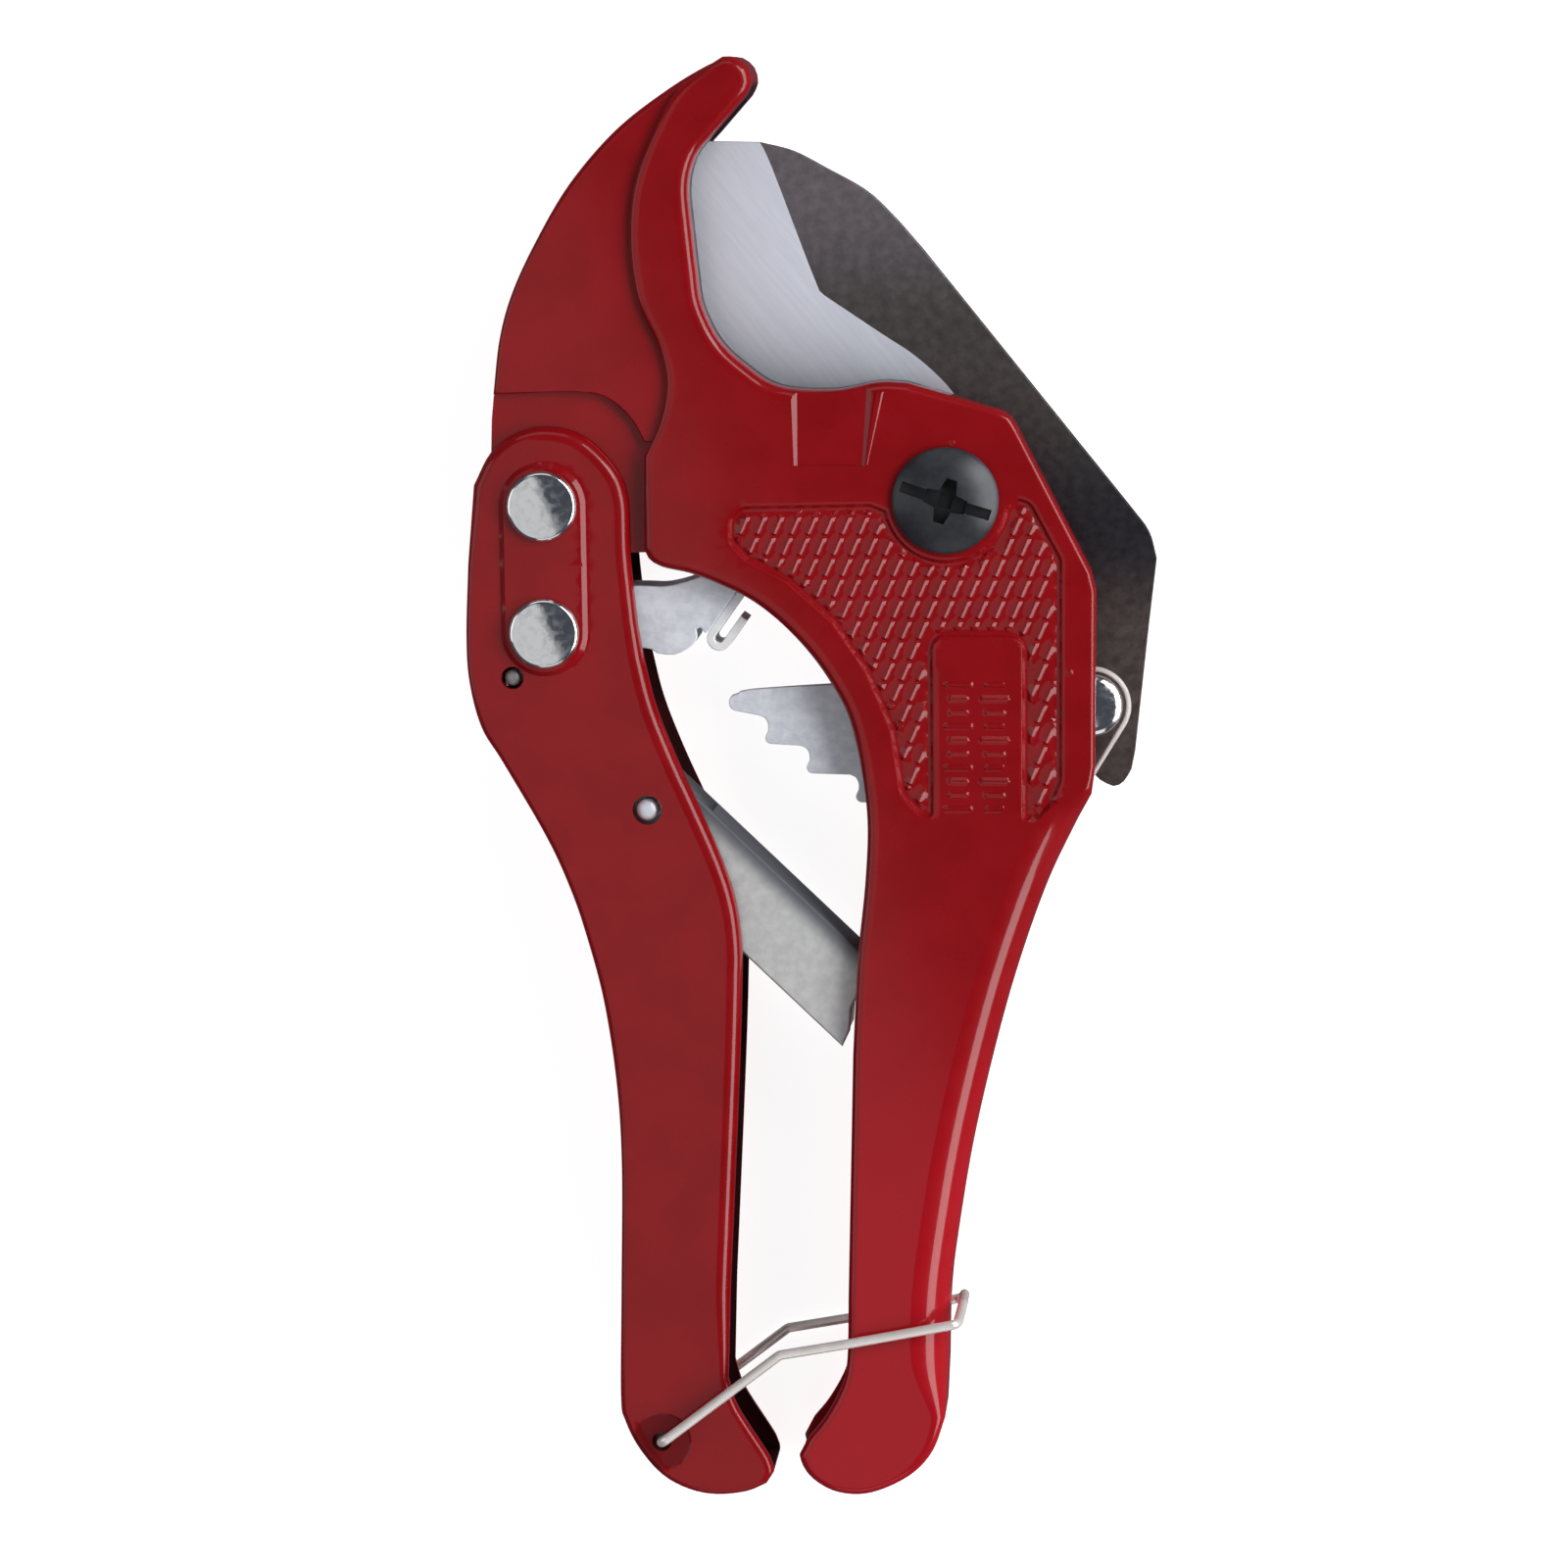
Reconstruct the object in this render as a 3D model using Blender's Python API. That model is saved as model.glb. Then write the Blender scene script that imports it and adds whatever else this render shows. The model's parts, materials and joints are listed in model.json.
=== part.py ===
"""A ratchet pipe cutter for plastic pipe up to 42 mm, lying on its side.

Everything is designed in millimetres around the blade's pivot: X runs across the handles,
Y runs from the handles to the jaw, and Z runs through the thickness, with z = 0 on the mid-plane.
ORIGIN then moves the design so that the world origin is under the middle of the tool.
"""

import math

import bmesh
import bpy
from mathutils import Vector

MM = 0.001
ORIGIN = Vector((19.1, 40.2, 11.5))
GAP = 0.3
SAMPLE = 5.0

# Pivots, measured from the blade's pivot.
BLADE_PIVOT = (0.0, 0.0)
HANDLE_PIVOT = (-57.0, -1.0)
PAWL_PIVOT = (-56.7, -19.0)
RACK_PIVOT = (20.6, -29.3)
ARM_PIVOT = (-42.2, -44.1)
ANCHOR = (-61.3, -25.4)
BAIL_PIVOT = (-40.3, -134.9)

# Half depths of the cast body and of the pressed handle.
CHEEK_HALF = 9.5
CRESCENT_HALF = 8.3
LUG_HALF = 7.0
CAVITY_HALF = 6.8
SLOT_HALF = 1.8
HANDLE_HALF = 9.3
HANDLE_WALL = 2.0
SPINE_WALL = 2.6
BOSS_HEIGHT = 0.6

BLADE_HALF = 1.5
EDGE_HALF = 0.15
RACK_Z = (1.8, 3.8)
RACK_EYE = 4.4
SPRING_Z = 4.9
SPRING_LOOP = 5.25
PAWL_HALF = 5.6
PAWL_WALL = 1.2
ARM_HALF = 6.4
ARM_WALL = 1.2
ARM_REACH = 5.85
ARM_ANGLE = math.radians(-43.3)
BAIL_HALF = 10.8
BAIL_WIRE = 0.7

# The screw through the blade's pivot, with its nut and the pocket that the nut lies in.
SCREW_SHOULDER = 4.0
SCREW_THREAD = 3.0
SCREW_HEAD = 7.5
SCREW_SLOTS = {"long_slot": (13.0, -18.0), "cross_slot": (6.4, 72.0)}
SCREW_SLOT_WIDTH = 1.2
SCREW_SLOT_FLOOR = 11.0
NUT_CORNER = 5.77
NUT_Z = (-11.3, -7.0)
LOCK_WASHER_Z = (-6.7, -5.5)
LOCK_WASHER_RADIUS = 5.0
NUT_POCKET_CORNER = 6.15
NUT_POCKET_FLOOR = -5.2

# Rivets and pins, and the holes for the pins in the moving handle.
RIVET_HEAD = 5.0
RIVET_TOP = 11.3
HANDLE_SHANK = 3.5
PAWL_SHANK = 3.0
RACK_SHANK = 2.4
ANCHOR_RADIUS = 1.15
ARM_PIN_RADIUS = 1.5
PIN_HALF = 8.8
ANCHOR_HOLE = 1.6
ARM_PIN_HOLE = 2.1
BAIL_HOLE = 1.4
BOSS_RADIUS = 5.9
WASHER_RADIUS = 8.5
WASHER_THICKNESS = 0.4

# Arcs round the blade's pivot that bound the slot and the hollow inside the body.
SLOT_REACH = 63.0
TAIL_REACH = 48.6
HUB_CLEARANCE = 14.5
CAVITY_START = 25.0

# The fixed handle's outside, from the toe up to the body, and the moving handle's outside.
FIXED_TOE = [(-20.6, -136.8), (-20.1, -138.4), (-18.7, -140.2), (-15.8, -141.9), (-12.1, -142.4),
             (-8.4, -141.5), (-4.3, -139.2), (-1.5, -135.9), (0.2, -131.2)]
FIXED_SPINE = [(0.6, -124.0), (0.8, -114.6), (1.7, -106.4), (4.1, -91.7), (7.4, -77.1),
               (10.7, -65.3), (14.6, -54.2), (18.7, -45.4)]
MOVING_SPINE = [(-67.6, -9.3), (-67.9, -19.4), (-67.5, -26.0), (-65.8, -32.5), (-62.7, -37.6),
                (-56.6, -48.1), (-53.3, -55.3), (-51.0, -62.0), (-48.5, -71.5), (-46.7, -83.4),
                (-46.0, -95.5), (-46.1, -113.5), (-46.2, -128.5), (-45.6, -132.0), (-43.6, -136.0),
                (-40.3, -139.8), (-36.4, -141.9), (-32.4, -142.6), (-28.1, -142.1), (-25.3, -140.9)]

# The blade's ground bevel: where it starts, and the cutting edge that it runs down to.
BEVEL_START = [(-26.7, 49.7), (-25.2, 47.2), (-19.6, 32.6), (-18.1, 28.9), (-9.5, 23.2),
               (-4.9, 20.2), (-0.5, 16.0)]
CUTTING_EDGE = [(-37.5, 49.6), (-41.8, 43.2), (-36.1, 28.5), (-31.9, 17.7), (-22.4, 11.4),
                (-17.5, 8.2), (-14.3, 6.0)]
BLADE_BACK = [(-22.0, 48.7), (-17.3, 46.5), (-11.6, 43.3), (-7.7, 39.4), (26.0, -1.4), (28.6, -4.9),
              (29.7, -8.7), (28.6, -18.6), (26.8, -36.0), (26.3, -38.6), (25.2, -40.4), (23.7, -41.1),
              (21.8, -40.2)]
BLADE_HEEL = [(17.5, -36.0), (14.0, -31.0), (10.5, -24.0), (4.0, -15.0), (-3.0, -12.8), (-9.0, -9.0),
              (-12.6, -3.0), (-13.2, 1.5)]


# ---------------------------------------------------------------- outlines

def curve(points):
    """A smooth curve through points, sampled about every SAMPLE millimetres."""
    path = [Vector(p) for p in points]
    padded = [2 * path[0] - path[1]] + path + [2 * path[-1] - path[-2]]
    result = []
    for before, start, end, after in zip(padded, padded[1:], padded[2:], padded[3:]):
        steps = max(1, round((end - start).length / SAMPLE))
        for step in range(steps):
            t = step / steps
            result.append(0.5 * (2 * start + (end - before) * t
                                 + (2 * before - 5 * start + 4 * end - after) * t ** 2
                                 + (3 * start - before - 3 * end + after) * t ** 3))
    result.append(path[-1])
    return [tuple(p) for p in result]


def arc(centre, radius, start, end, steps):
    """Points on an arc, between two angles in degrees."""
    angles = [math.radians(start + (end - start) * step / steps) for step in range(steps + 1)]
    return [(centre[0] + radius * math.cos(a), centre[1] + radius * math.sin(a)) for a in angles]


def circle(centre, radius, steps):
    return arc(centre, radius, 0, 360 * (steps - 1) / steps, steps - 1)


def inset_directions(outline):
    """For each corner of an anticlockwise outline, the step that moves both of its sides inward by 1."""
    directions = []
    for index, here in enumerate(outline):
        back = (Vector(here) - Vector(outline[index - 1])).normalized()
        ahead = (Vector(outline[(index + 1) % len(outline)]) - Vector(here)).normalized()
        inward = Vector((-back.y - ahead.y, back.x + ahead.x)).normalized()
        directions.append(inward / max(0.6, inward.dot(Vector((-ahead.y, ahead.x)))))
    return directions


def offset_path(points, distance):
    """An open path moved to its left by distance."""
    moved = []
    for index, here in enumerate(points):
        start = Vector(points[max(index - 1, 0)])
        end = Vector(points[min(index + 1, len(points) - 1)])
        along = (end - start).normalized()
        moved.append((here[0] - along.y * distance, here[1] + along.x * distance))
    return moved


def anticlockwise(outline):
    area = sum(a[0] * b[1] - b[0] * a[1] for a, b in zip(outline, outline[1:] + outline[:1]))
    return area > 0


def join_stretches(stretches):
    """One anticlockwise outline from (points, edge rounding) stretches, with the rounding at each point."""
    outline = [tuple(p) for points, _ in stretches for p in points]
    rounding = [r for points, r in stretches for _ in points]
    if not anticlockwise(outline):
        outline.reverse()
        rounding.reverse()
    for _ in range(2):
        following = rounding[1:] + rounding[:1]
        rounding = [(rounding[i - 1] + 2 * r + following[i]) / 4 for i, r in enumerate(rounding)]
    return outline, rounding


# ---------------------------------------------------------------- solids

def material(name, colour, metallic, roughness):
    made = bpy.data.materials.new(name)
    made.use_nodes = True
    shader = made.node_tree.nodes["Principled BSDF"]
    shader.inputs["Base Color"].default_value = (*colour, 1.0)
    shader.inputs["Metallic"].default_value = metallic
    shader.inputs["Roughness"].default_value = roughness
    return made


def place(obj, pivot=BLADE_PIVOT):
    """Links obj and moves it so that its own origin is on a pivot's axis, at the mid-plane."""
    bpy.context.scene.collection.objects.link(obj)
    obj.location = (Vector((*pivot, 0.0)) + ORIGIN) * MM
    return obj


def solid(name, vertices, faces, pivot=BLADE_PIVOT, look=None):
    """A mesh object from design points in millimetres, with its faces turned outward."""
    mesh = bpy.data.meshes.new(name)
    origin = Vector((*pivot, 0.0))
    mesh.from_pydata([(Vector(v) - origin) * MM for v in vertices], [], faces)
    shape = bmesh.new()
    shape.from_mesh(mesh)
    bmesh.ops.recalc_face_normals(shape, faces=shape.faces)
    shape.to_mesh(mesh)
    shape.free()
    mesh.shade_smooth()
    mesh.set_sharp_from_angle(angle=math.radians(35))
    if look:
        mesh.materials.append(look)
    return place(bpy.data.objects.new(name, mesh), pivot)


def slab(name, outline, low, high, rounding=0.0, steps=2, pivot=BLADE_PIVOT, look=None):
    """A plate between two heights whose edges are rounded; rounding is one radius or one for each point."""
    outline = list(outline)
    if not anticlockwise(outline):
        outline.reverse()
    radii = rounding if isinstance(rounding, list) else [rounding] * len(outline)
    steps = steps if max(radii) > 0 else 0
    inward = inset_directions(outline)
    levels = []
    for step in range(steps + 1):
        angle = math.pi / 2 * step / max(steps, 1)
        levels.append((1 - math.sin(angle), 1 - math.cos(angle)) if steps else (0.0, 0.0))
    rings = [[(x + i.x * r * inset, y + i.y * r * inset, high - r * drop)
              for (x, y), i, r in zip(outline, inward, radii)] for inset, drop in levels]
    rings += [[(x + i.x * r * inset, y + i.y * r * inset, low + r * drop)
               for (x, y), i, r in zip(outline, inward, radii)] for inset, drop in reversed(levels)]
    count = len(outline)
    vertices = [v for ring in rings for v in ring]
    faces = [list(range(count)), list(reversed(range(len(vertices) - count, len(vertices))))]
    for ring in range(len(rings) - 1):
        for side in range(count):
            following = (side + 1) % count
            faces.append([ring * count + side, ring * count + following,
                          (ring + 1) * count + following, (ring + 1) * count + side])
    return solid(name, vertices, faces, pivot, look)


def turned(name, profile, pivot, look=None, segments=24):
    """A turned piece: profile is (radius, z) from the top of the axis down to its foot."""
    inner = profile[1:-1]
    vertices = [(pivot[0], pivot[1], profile[0][1])]
    for radius, z in inner:
        vertices += [(x, y, z) for x, y in circle(pivot, radius, segments)]
    vertices.append((pivot[0], pivot[1], profile[-1][1]))
    last = len(vertices) - 1
    faces = []
    for side in range(segments):
        following = (side + 1) % segments
        faces.append([0, 1 + side, 1 + following])
        for ring in range(len(inner) - 1):
            upper = 1 + ring * segments
            lower = upper + segments
            faces.append([upper + side, lower + side, lower + following, upper + following])
        foot = 1 + (len(inner) - 1) * segments
        faces.append([foot + side, last, foot + following])
    return solid(name, vertices, faces, pivot, look)


def ring_washer(name, inner, outer, low, high, pivot, look, segments=24):
    washer = slab(name, circle(pivot, outer, segments), low, high, pivot=pivot, look=look)
    cut(washer, slab(name + "_hole", circle(pivot, inner, segments), low - 1, high + 1))
    return washer


def boolean(target, tool, operation):
    """Adds a Boolean to target, and keeps its tool as a hidden guide."""
    modifier = target.modifiers.new(tool.name, "BOOLEAN")
    modifier.operation = operation
    modifier.solver = "EXACT"
    modifier.object = tool
    tool.hide_render = True
    tool.display_type = "WIRE"


def cut(target, tool):
    boolean(target, tool, "DIFFERENCE")


def add(target, tool):
    boolean(target, tool, "UNION")


def bore(target, pivot, radius, low=-15.0, high=15.0, segments=20):
    name = f"{target.name}_bore_{len(target.modifiers)}"
    cut(target, slab(name, circle(pivot, radius, segments), low, high))


def wire(name, points, radius, pivot, look, resolution=1):
    """A round wire along design points, with closed ends."""
    data = bpy.data.curves.new(name, "CURVE")
    data.dimensions = "3D"
    data.bevel_depth = radius * MM
    data.bevel_resolution = resolution
    data.use_fill_caps = True
    origin = Vector((*pivot, 0.0))
    spline = data.splines.new("POLY")
    spline.points.add(len(points) - 1)
    for point, target in zip(points, spline.points):
        target.co = (*((Vector(point) - origin) * MM), 1.0)
    data.materials.append(look)
    return place(bpy.data.objects.new(name, data), pivot)


def bend(start, corner, end, radius, steps=3):
    """Points that turn a wire's corner with a bend of the given radius."""
    start, corner, end = Vector(start), Vector(corner), Vector(end)
    into = (corner - start).normalized()
    out = (end - corner).normalized()
    turn = into.angle(out)
    reach = radius * math.tan(turn / 2)
    side = (out - into * out.dot(into)).normalized()
    centre = corner - into * reach + side * radius
    angles = [turn * step / steps for step in range(steps + 1)]
    return [tuple(centre + into * radius * math.sin(a) - side * radius * math.cos(a)) for a in angles]


def bent_wire_points(corners, radius):
    """A wire's path through corners, each turned with the same bend."""
    points = [corners[0]]
    for before, corner, after in zip(corners, corners[1:], corners[2:]):
        points += bend(before, corner, after, radius)
    points.append(corners[-1])
    return points


def coil_points(pivot, radius, turns, pitch, start, z, per_turn=10):
    """A helix about an axis through pivot, from an angle in degrees and a height.

    Negative turns run clockwise.
    """
    count = round(abs(turns) * per_turn)
    points = []
    for step in range(count + 1):
        angle = math.radians(start) + math.copysign(2 * math.pi * step / per_turn, turns)
        points.append((pivot[0] + radius * math.cos(angle), pivot[1] + radius * math.sin(angle),
                       z + pitch * step / per_turn))
    return points


# ---------------------------------------------------------------- cast body with the fixed handle

def cheek_stretches():
    """The raised rib, the cheeks and the fixed handle in one outline, anticlockwise from the jaw's tip."""
    rib = curve([(-33.2, 61.0), (-38.1, 57.1), (-41.6, 50.7), (-44.1, 43.5), (-44.6, 35.4), (-43.4, 27.7),
                 (-40.6, 21.4), (-39.5, 16.4), (-40.4, 11.0), (-42.6, 6.0)])
    throat = curve([(-42.6, -6.8), (-42.0, -8.4), (-40.1, -9.6), (-36.1, -10.5), (-32.1, -12.0),
                    (-27.9, -14.0), (-23.9, -16.9), (-19.9, -20.9), (-16.6, -25.3), (-13.8, -30.5),
                    (-12.0, -37.5), (-11.0, -45.5), (-11.3, -54.4), (-12.4, -65.8), (-13.0, -79.0)])
    grip_inside = curve([(-13.6, -113.1), (-13.8, -123.1), (-14.8, -127.3), (-17.0, -131.4),
                         (-19.3, -134.3)])
    right = curve([(20.7, -41.5), (21.2, -37.6)]) + curve([(21.2, -12.8), (20.5, -10.0)])
    top = curve([(9.8, 10.6), (9.0, 11.8), (7.4, 12.7)])
    saddle = curve([(-5.6, 16.5), (-9.7, 16.6), (-15.9, 15.5), (-23.5, 16.0), (-28.3, 18.9),
                    (-32.0, 22.5), (-34.4, 27.4), (-35.1, 32.0), (-35.8, 38.0), (-36.3, 43.5),
                    (-35.8, 46.8), (-34.6, 49.0), (-32.4, 51.1)])
    tip = curve([(-27.6, 56.5), (-26.7, 58.4), (-27.3, 60.6), (-29.2, 62.0), (-31.4, 62.1)])
    return [(rib, 0.9), (throat, 1.2), (grip_inside, 1.2), (curve(FIXED_TOE), 1.2),
            (curve(FIXED_SPINE), 5.0), (right, 0.9), (top, 0.9), (saddle, 2.2), (tip, 1.6)]


def crescent_stretches():
    """The jaw's lower outer part. Its right side lies hidden inside the rib."""
    outer = curve([(-30.9, 61.9), (-33.6, 60.9), (-39.4, 57.4), (-46.6, 51.8), (-53.1, 44.3),
                   (-57.9, 36.2), (-61.3, 28.9), (-63.1, 22.4), (-64.0, 14.6)])
    step = curve([(-58.0, 14.9), (-52.2, 15.0), (-48.2, 14.3), (-44.8, 11.6), (-42.6, 8.0)])
    hidden = [(-39.5, 8.0), (-37.0, 16.0), (-39.0, 30.0), (-40.0, 42.0), (-36.0, 52.0),
              (-30.0, 59.0)]
    return [(outer, 0.8), (step, 0.4), (hidden, 0.2)]


def lug_outline():
    """The plain lug that the moving handle's ears straddle."""
    return ([(-40.0, 16.5), (-62.5, 16.5), (-64.1, 12.0), (-64.4, 6.0)]
            + arc(HANDLE_PIVOT, 8.0, 175, 270, 5) + [(-50.0, -7.8), (-40.0, -7.6)])


def slot_outline():
    """Where the blade swings: the jaw's slot, the hub and the sweep of the tail."""
    cutting_side = [(-16.2, 3.4), (-33.6, 16.4), (-44.3, 44.8)]
    return (cutting_side + arc(BLADE_PIVOT, SLOT_REACH, 134, -10, 16)
            + arc(BLADE_PIVOT, TAIL_REACH, -20, -155, 12)
            + arc(BLADE_PIVOT, HUB_CLEARANCE, -155, -190, 3))


def cavity_outline():
    """The hollow behind both faces: the tail's space, the pawl's recess and the fixed handle's channel."""
    spine = offset_path(curve(FIXED_TOE[2:] + FIXED_SPINE), SPINE_WALL)
    return (arc(BLADE_PIVOT, CAVITY_START, -46, -140, 7)
            + [(-24.0, -9.0), (-27.0, -5.6), (-43.2, -5.6), (-43.2, -20.0), (-30.0, -60.0)]
            + [(-30.0, -136.0)]
            + spine + [(17.4, -45.0), (18.0, -42.8), (34.0, -42.8), (34.0, -18.0)])


def build_body(look):
    outline, rounding = join_stretches(cheek_stretches())
    body = slab("body_frame", outline, -CHEEK_HALF, CHEEK_HALF, rounding, steps=3, look=look)
    outline, rounding = join_stretches(crescent_stretches())
    add(body, slab("crescent_guide", outline, -CRESCENT_HALF, CRESCENT_HALF, rounding))
    add(body, slab("lug_guide", lug_outline(), -LUG_HALF, LUG_HALF))
    cut(body, slab("cavity_guide", cavity_outline(), -CAVITY_HALF, CAVITY_HALF))
    cut(body, slab("slot_guide", slot_outline(), -SLOT_HALF, SLOT_HALF))
    notch = [(-22.0, 20.0), (-20.7, 5.7), (-18.9, 4.5), (-12.6, 4.5), (-11.3, 5.7), (-9.0, 20.0)]
    for side in (-1, 1):
        low, high = sorted((side * (CHEEK_HALF - 0.5), side * (CHEEK_HALF + 5)))
        cut(body, slab(f"notch_guide_{low:.0f}", notch, low, high))
    bore(body, BLADE_PIVOT, WASHER_RADIUS + 0.5, -2.5, 2.5, segments=24)
    bore(body, BLADE_PIVOT, SCREW_SHOULDER + GAP, -2.8, 15.0)
    bore(body, BLADE_PIVOT, SCREW_THREAD + GAP)
    bore(body, BLADE_PIVOT, NUT_POCKET_CORNER, -15.0, NUT_POCKET_FLOOR, segments=6)
    bore(body, HANDLE_PIVOT, HANDLE_SHANK + GAP)
    return body


# ---------------------------------------------------------------- pivot hardware

def build_pivot_screw(look):
    """A pan-head screw with a cross recess and one long slot, a shoulder and a threaded end."""
    head_low = CHEEK_HALF + GAP
    dome = [(0, 12.4), (2.8, 12.25), (5.2, 11.75), (6.8, 10.95), (SCREW_HEAD, 10.2)]
    under_head = [(SCREW_HEAD, head_low), (SCREW_SHOULDER, head_low)]
    thread = [(SCREW_SHOULDER, -2.5), (SCREW_THREAD, -2.5), (SCREW_THREAD, -11.0), (2.6, -11.4), (0, -11.4)]
    screw = turned("pivot_screw", dome + under_head + thread, BLADE_PIVOT, look, segments=32)
    for name, (length, tilt) in SCREW_SLOTS.items():
        along = Vector((math.cos(math.radians(tilt)), math.sin(math.radians(tilt))))
        across = Vector((-along.y, along.x)) * SCREW_SLOT_WIDTH / 2
        signs = ((-1, -1), (1, -1), (1, 1), (-1, 1))
        corners = [tuple(along * length / 2 * s + across * t) for s, t in signs]
        cut(screw, slab(name, corners, SCREW_SLOT_FLOOR, SCREW_SLOT_FLOOR + 3))
    return screw


def build_nut(look):
    nut = slab("pivot_nut", circle(BLADE_PIVOT, NUT_CORNER, 6), *NUT_Z, look=look)
    bore(nut, BLADE_PIVOT, SCREW_THREAD + GAP)
    return nut


def build_lock_washer(look):
    """A split spring washer under the nut."""
    washer = ring_washer("lock_washer", SCREW_THREAD + 0.4, LOCK_WASHER_RADIUS, *LOCK_WASHER_Z,
                         BLADE_PIVOT, look)
    split = [(2.0, -0.4), (7.0, -0.4), (7.0, 0.4), (2.0, 0.4)]
    cut(washer, slab("washer_split", split, LOCK_WASHER_Z[0] - 1, LOCK_WASHER_Z[1] + 1))
    return washer


def rivet_profile(head, shank, near_seat, far_seat, near_top, far_top):
    """A rivet with two flat heads whose rims are slightly rounded."""
    return [(0, near_top), (head - 0.7, near_top), (head - 0.15, near_top - 0.3), (head, near_top - 0.65),
            (head, near_seat), (shank, near_seat), (shank, far_seat), (head, far_seat),
            (head, far_top + 0.65), (head - 0.15, far_top + 0.3), (head - 0.7, far_top), (0, far_top)]


def build_handle_rivets(look):
    seat = HANDLE_HALF + BOSS_HEIGHT + GAP
    rivets = (("handle_rivet", HANDLE_PIVOT, HANDLE_SHANK), ("pawl_rivet", PAWL_PIVOT, PAWL_SHANK))
    for name, pivot, shank in rivets:
        turned(name, rivet_profile(RIVET_HEAD, shank, seat, -seat, RIVET_TOP, -RIVET_TOP), pivot, look)


def build_pins(look):
    pins = (("spring_anchor_pin", ANCHOR, ANCHOR_RADIUS), ("arm_pin", ARM_PIVOT, ARM_PIN_RADIUS))
    for name, pivot, radius in pins:
        profile = [(0, PIN_HALF), (radius - 0.3, PIN_HALF), (radius, PIN_HALF - 0.3),
                   (radius, 0.3 - PIN_HALF), (radius - 0.3, -PIN_HALF), (0, -PIN_HALF)]
        turned(name, profile, pivot, look, segments=16)


# ---------------------------------------------------------------- moving handle

def build_moving_handle(look):
    """The pressed channel handle: two walls and a spine on the outer side."""
    ear = curve([(-43.6, -17.4), (-44.6, -8.0), (-45.0, 0.2), (-47.0, 4.8), (-51.4, 8.9), (-56.4, 10.1),
                 (-60.8, 9.2), (-64.4, 6.4), (-66.8, 1.8)])
    toe = curve([(-24.3, -139.3), (-24.9, -137.1), (-29.4, -130.0), (-30.8, -125.8)])
    inside = curve([(-30.5, -113.3), (-29.2, -82.3), (-28.8, -68.8), (-28.8, -63.2), (-29.6, -57.4),
                    (-31.4, -51.7), (-34.6, -44.3), (-38.2, -36.4), (-41.0, -29.2), (-42.7, -22.5)])
    stretches = [(ear, 1.6), (curve(MOVING_SPINE), 0.9), (toe, 0.9), (inside, 1.8)]
    outline, rounding = join_stretches(stretches)
    handle = slab("moving_handle", outline, -HANDLE_HALF, HANDLE_HALF, rounding,
                  pivot=HANDLE_PIVOT, look=look)
    boss = arc(HANDLE_PIVOT, BOSS_RADIUS, 0, 180, 8) + arc(PAWL_PIVOT, BOSS_RADIUS, 180, 360, 8)
    boss_top = HANDLE_HALF + BOSS_HEIGHT
    add(handle, slab("boss_guide", boss, -boss_top, boss_top, 0.4, steps=1))
    channel = offset_path(curve(MOVING_SPINE), HANDLE_WALL)
    channel[0] = (channel[0][0], -7.0)
    channel += [(-15.0, -138.0), (-15.0, 16.0), (-75.0, 16.0), (-75.0, -7.0)]
    inside_half = HANDLE_HALF - HANDLE_WALL
    cut(handle, slab("channel_guide", channel, -inside_half, inside_half))
    holes = ((HANDLE_PIVOT, HANDLE_SHANK + GAP), (PAWL_PIVOT, PAWL_SHANK + GAP),
             (ANCHOR, ANCHOR_HOLE), (ARM_PIVOT, ARM_PIN_HOLE), (BAIL_PIVOT, BAIL_HOLE))
    for pivot, radius in holes:
        bore(handle, pivot, radius, segments=16)
    return handle


# ---------------------------------------------------------------- blade, rack and their spring

def build_blade(look):
    """A flat blade with a long ground bevel on both faces; its tail carries the rack."""
    back = [BEVEL_START[0]] + BLADE_BACK + BLADE_HEEL + [BEVEL_START[-1]]
    count = len(back)
    bevel = BEVEL_START[1:-1]
    thick = back + bevel
    vertices = [(x, y, z) for z in (BLADE_HALF, -BLADE_HALF) for x, y in thick]
    vertices += [(x, y, z) for z in (EDGE_HALF, -EDGE_HALF) for x, y in CUTTING_EDGE]
    far = len(thick)
    near_edge = 2 * far
    far_edge = near_edge + len(CUTTING_EDGE)
    start_row = [0] + list(range(count, far)) + [count - 1]
    body_face = list(range(count)) + list(reversed(range(count, far)))
    faces = [body_face, [far + i for i in reversed(body_face)]]
    for i in range(len(back) - 2):
        faces.append([i, i + 1, far + i + 1, far + i])
    for i, (a, b) in enumerate(zip(start_row, start_row[1:])):
        faces.append([a, b, near_edge + i + 1, near_edge + i])
        faces.append([far + a, far + b, far_edge + i + 1, far_edge + i])
        faces.append([near_edge + i, near_edge + i + 1, far_edge + i + 1, far_edge + i])
    last = len(CUTTING_EDGE) - 1
    faces.append([0, near_edge, far_edge, far])
    heel_end = count - 2
    faces.append([heel_end, count - 1, near_edge + last])
    faces.append([far + heel_end, far + count - 1, far_edge + last])
    faces.append([heel_end, near_edge + last, far_edge + last, far + heel_end])
    blade = solid("blade", vertices, faces, look=look)
    bore(blade, BLADE_PIVOT, SCREW_SHOULDER + GAP, segments=24)
    bore(blade, RACK_PIVOT, RACK_SHANK + GAP)
    return blade


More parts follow.
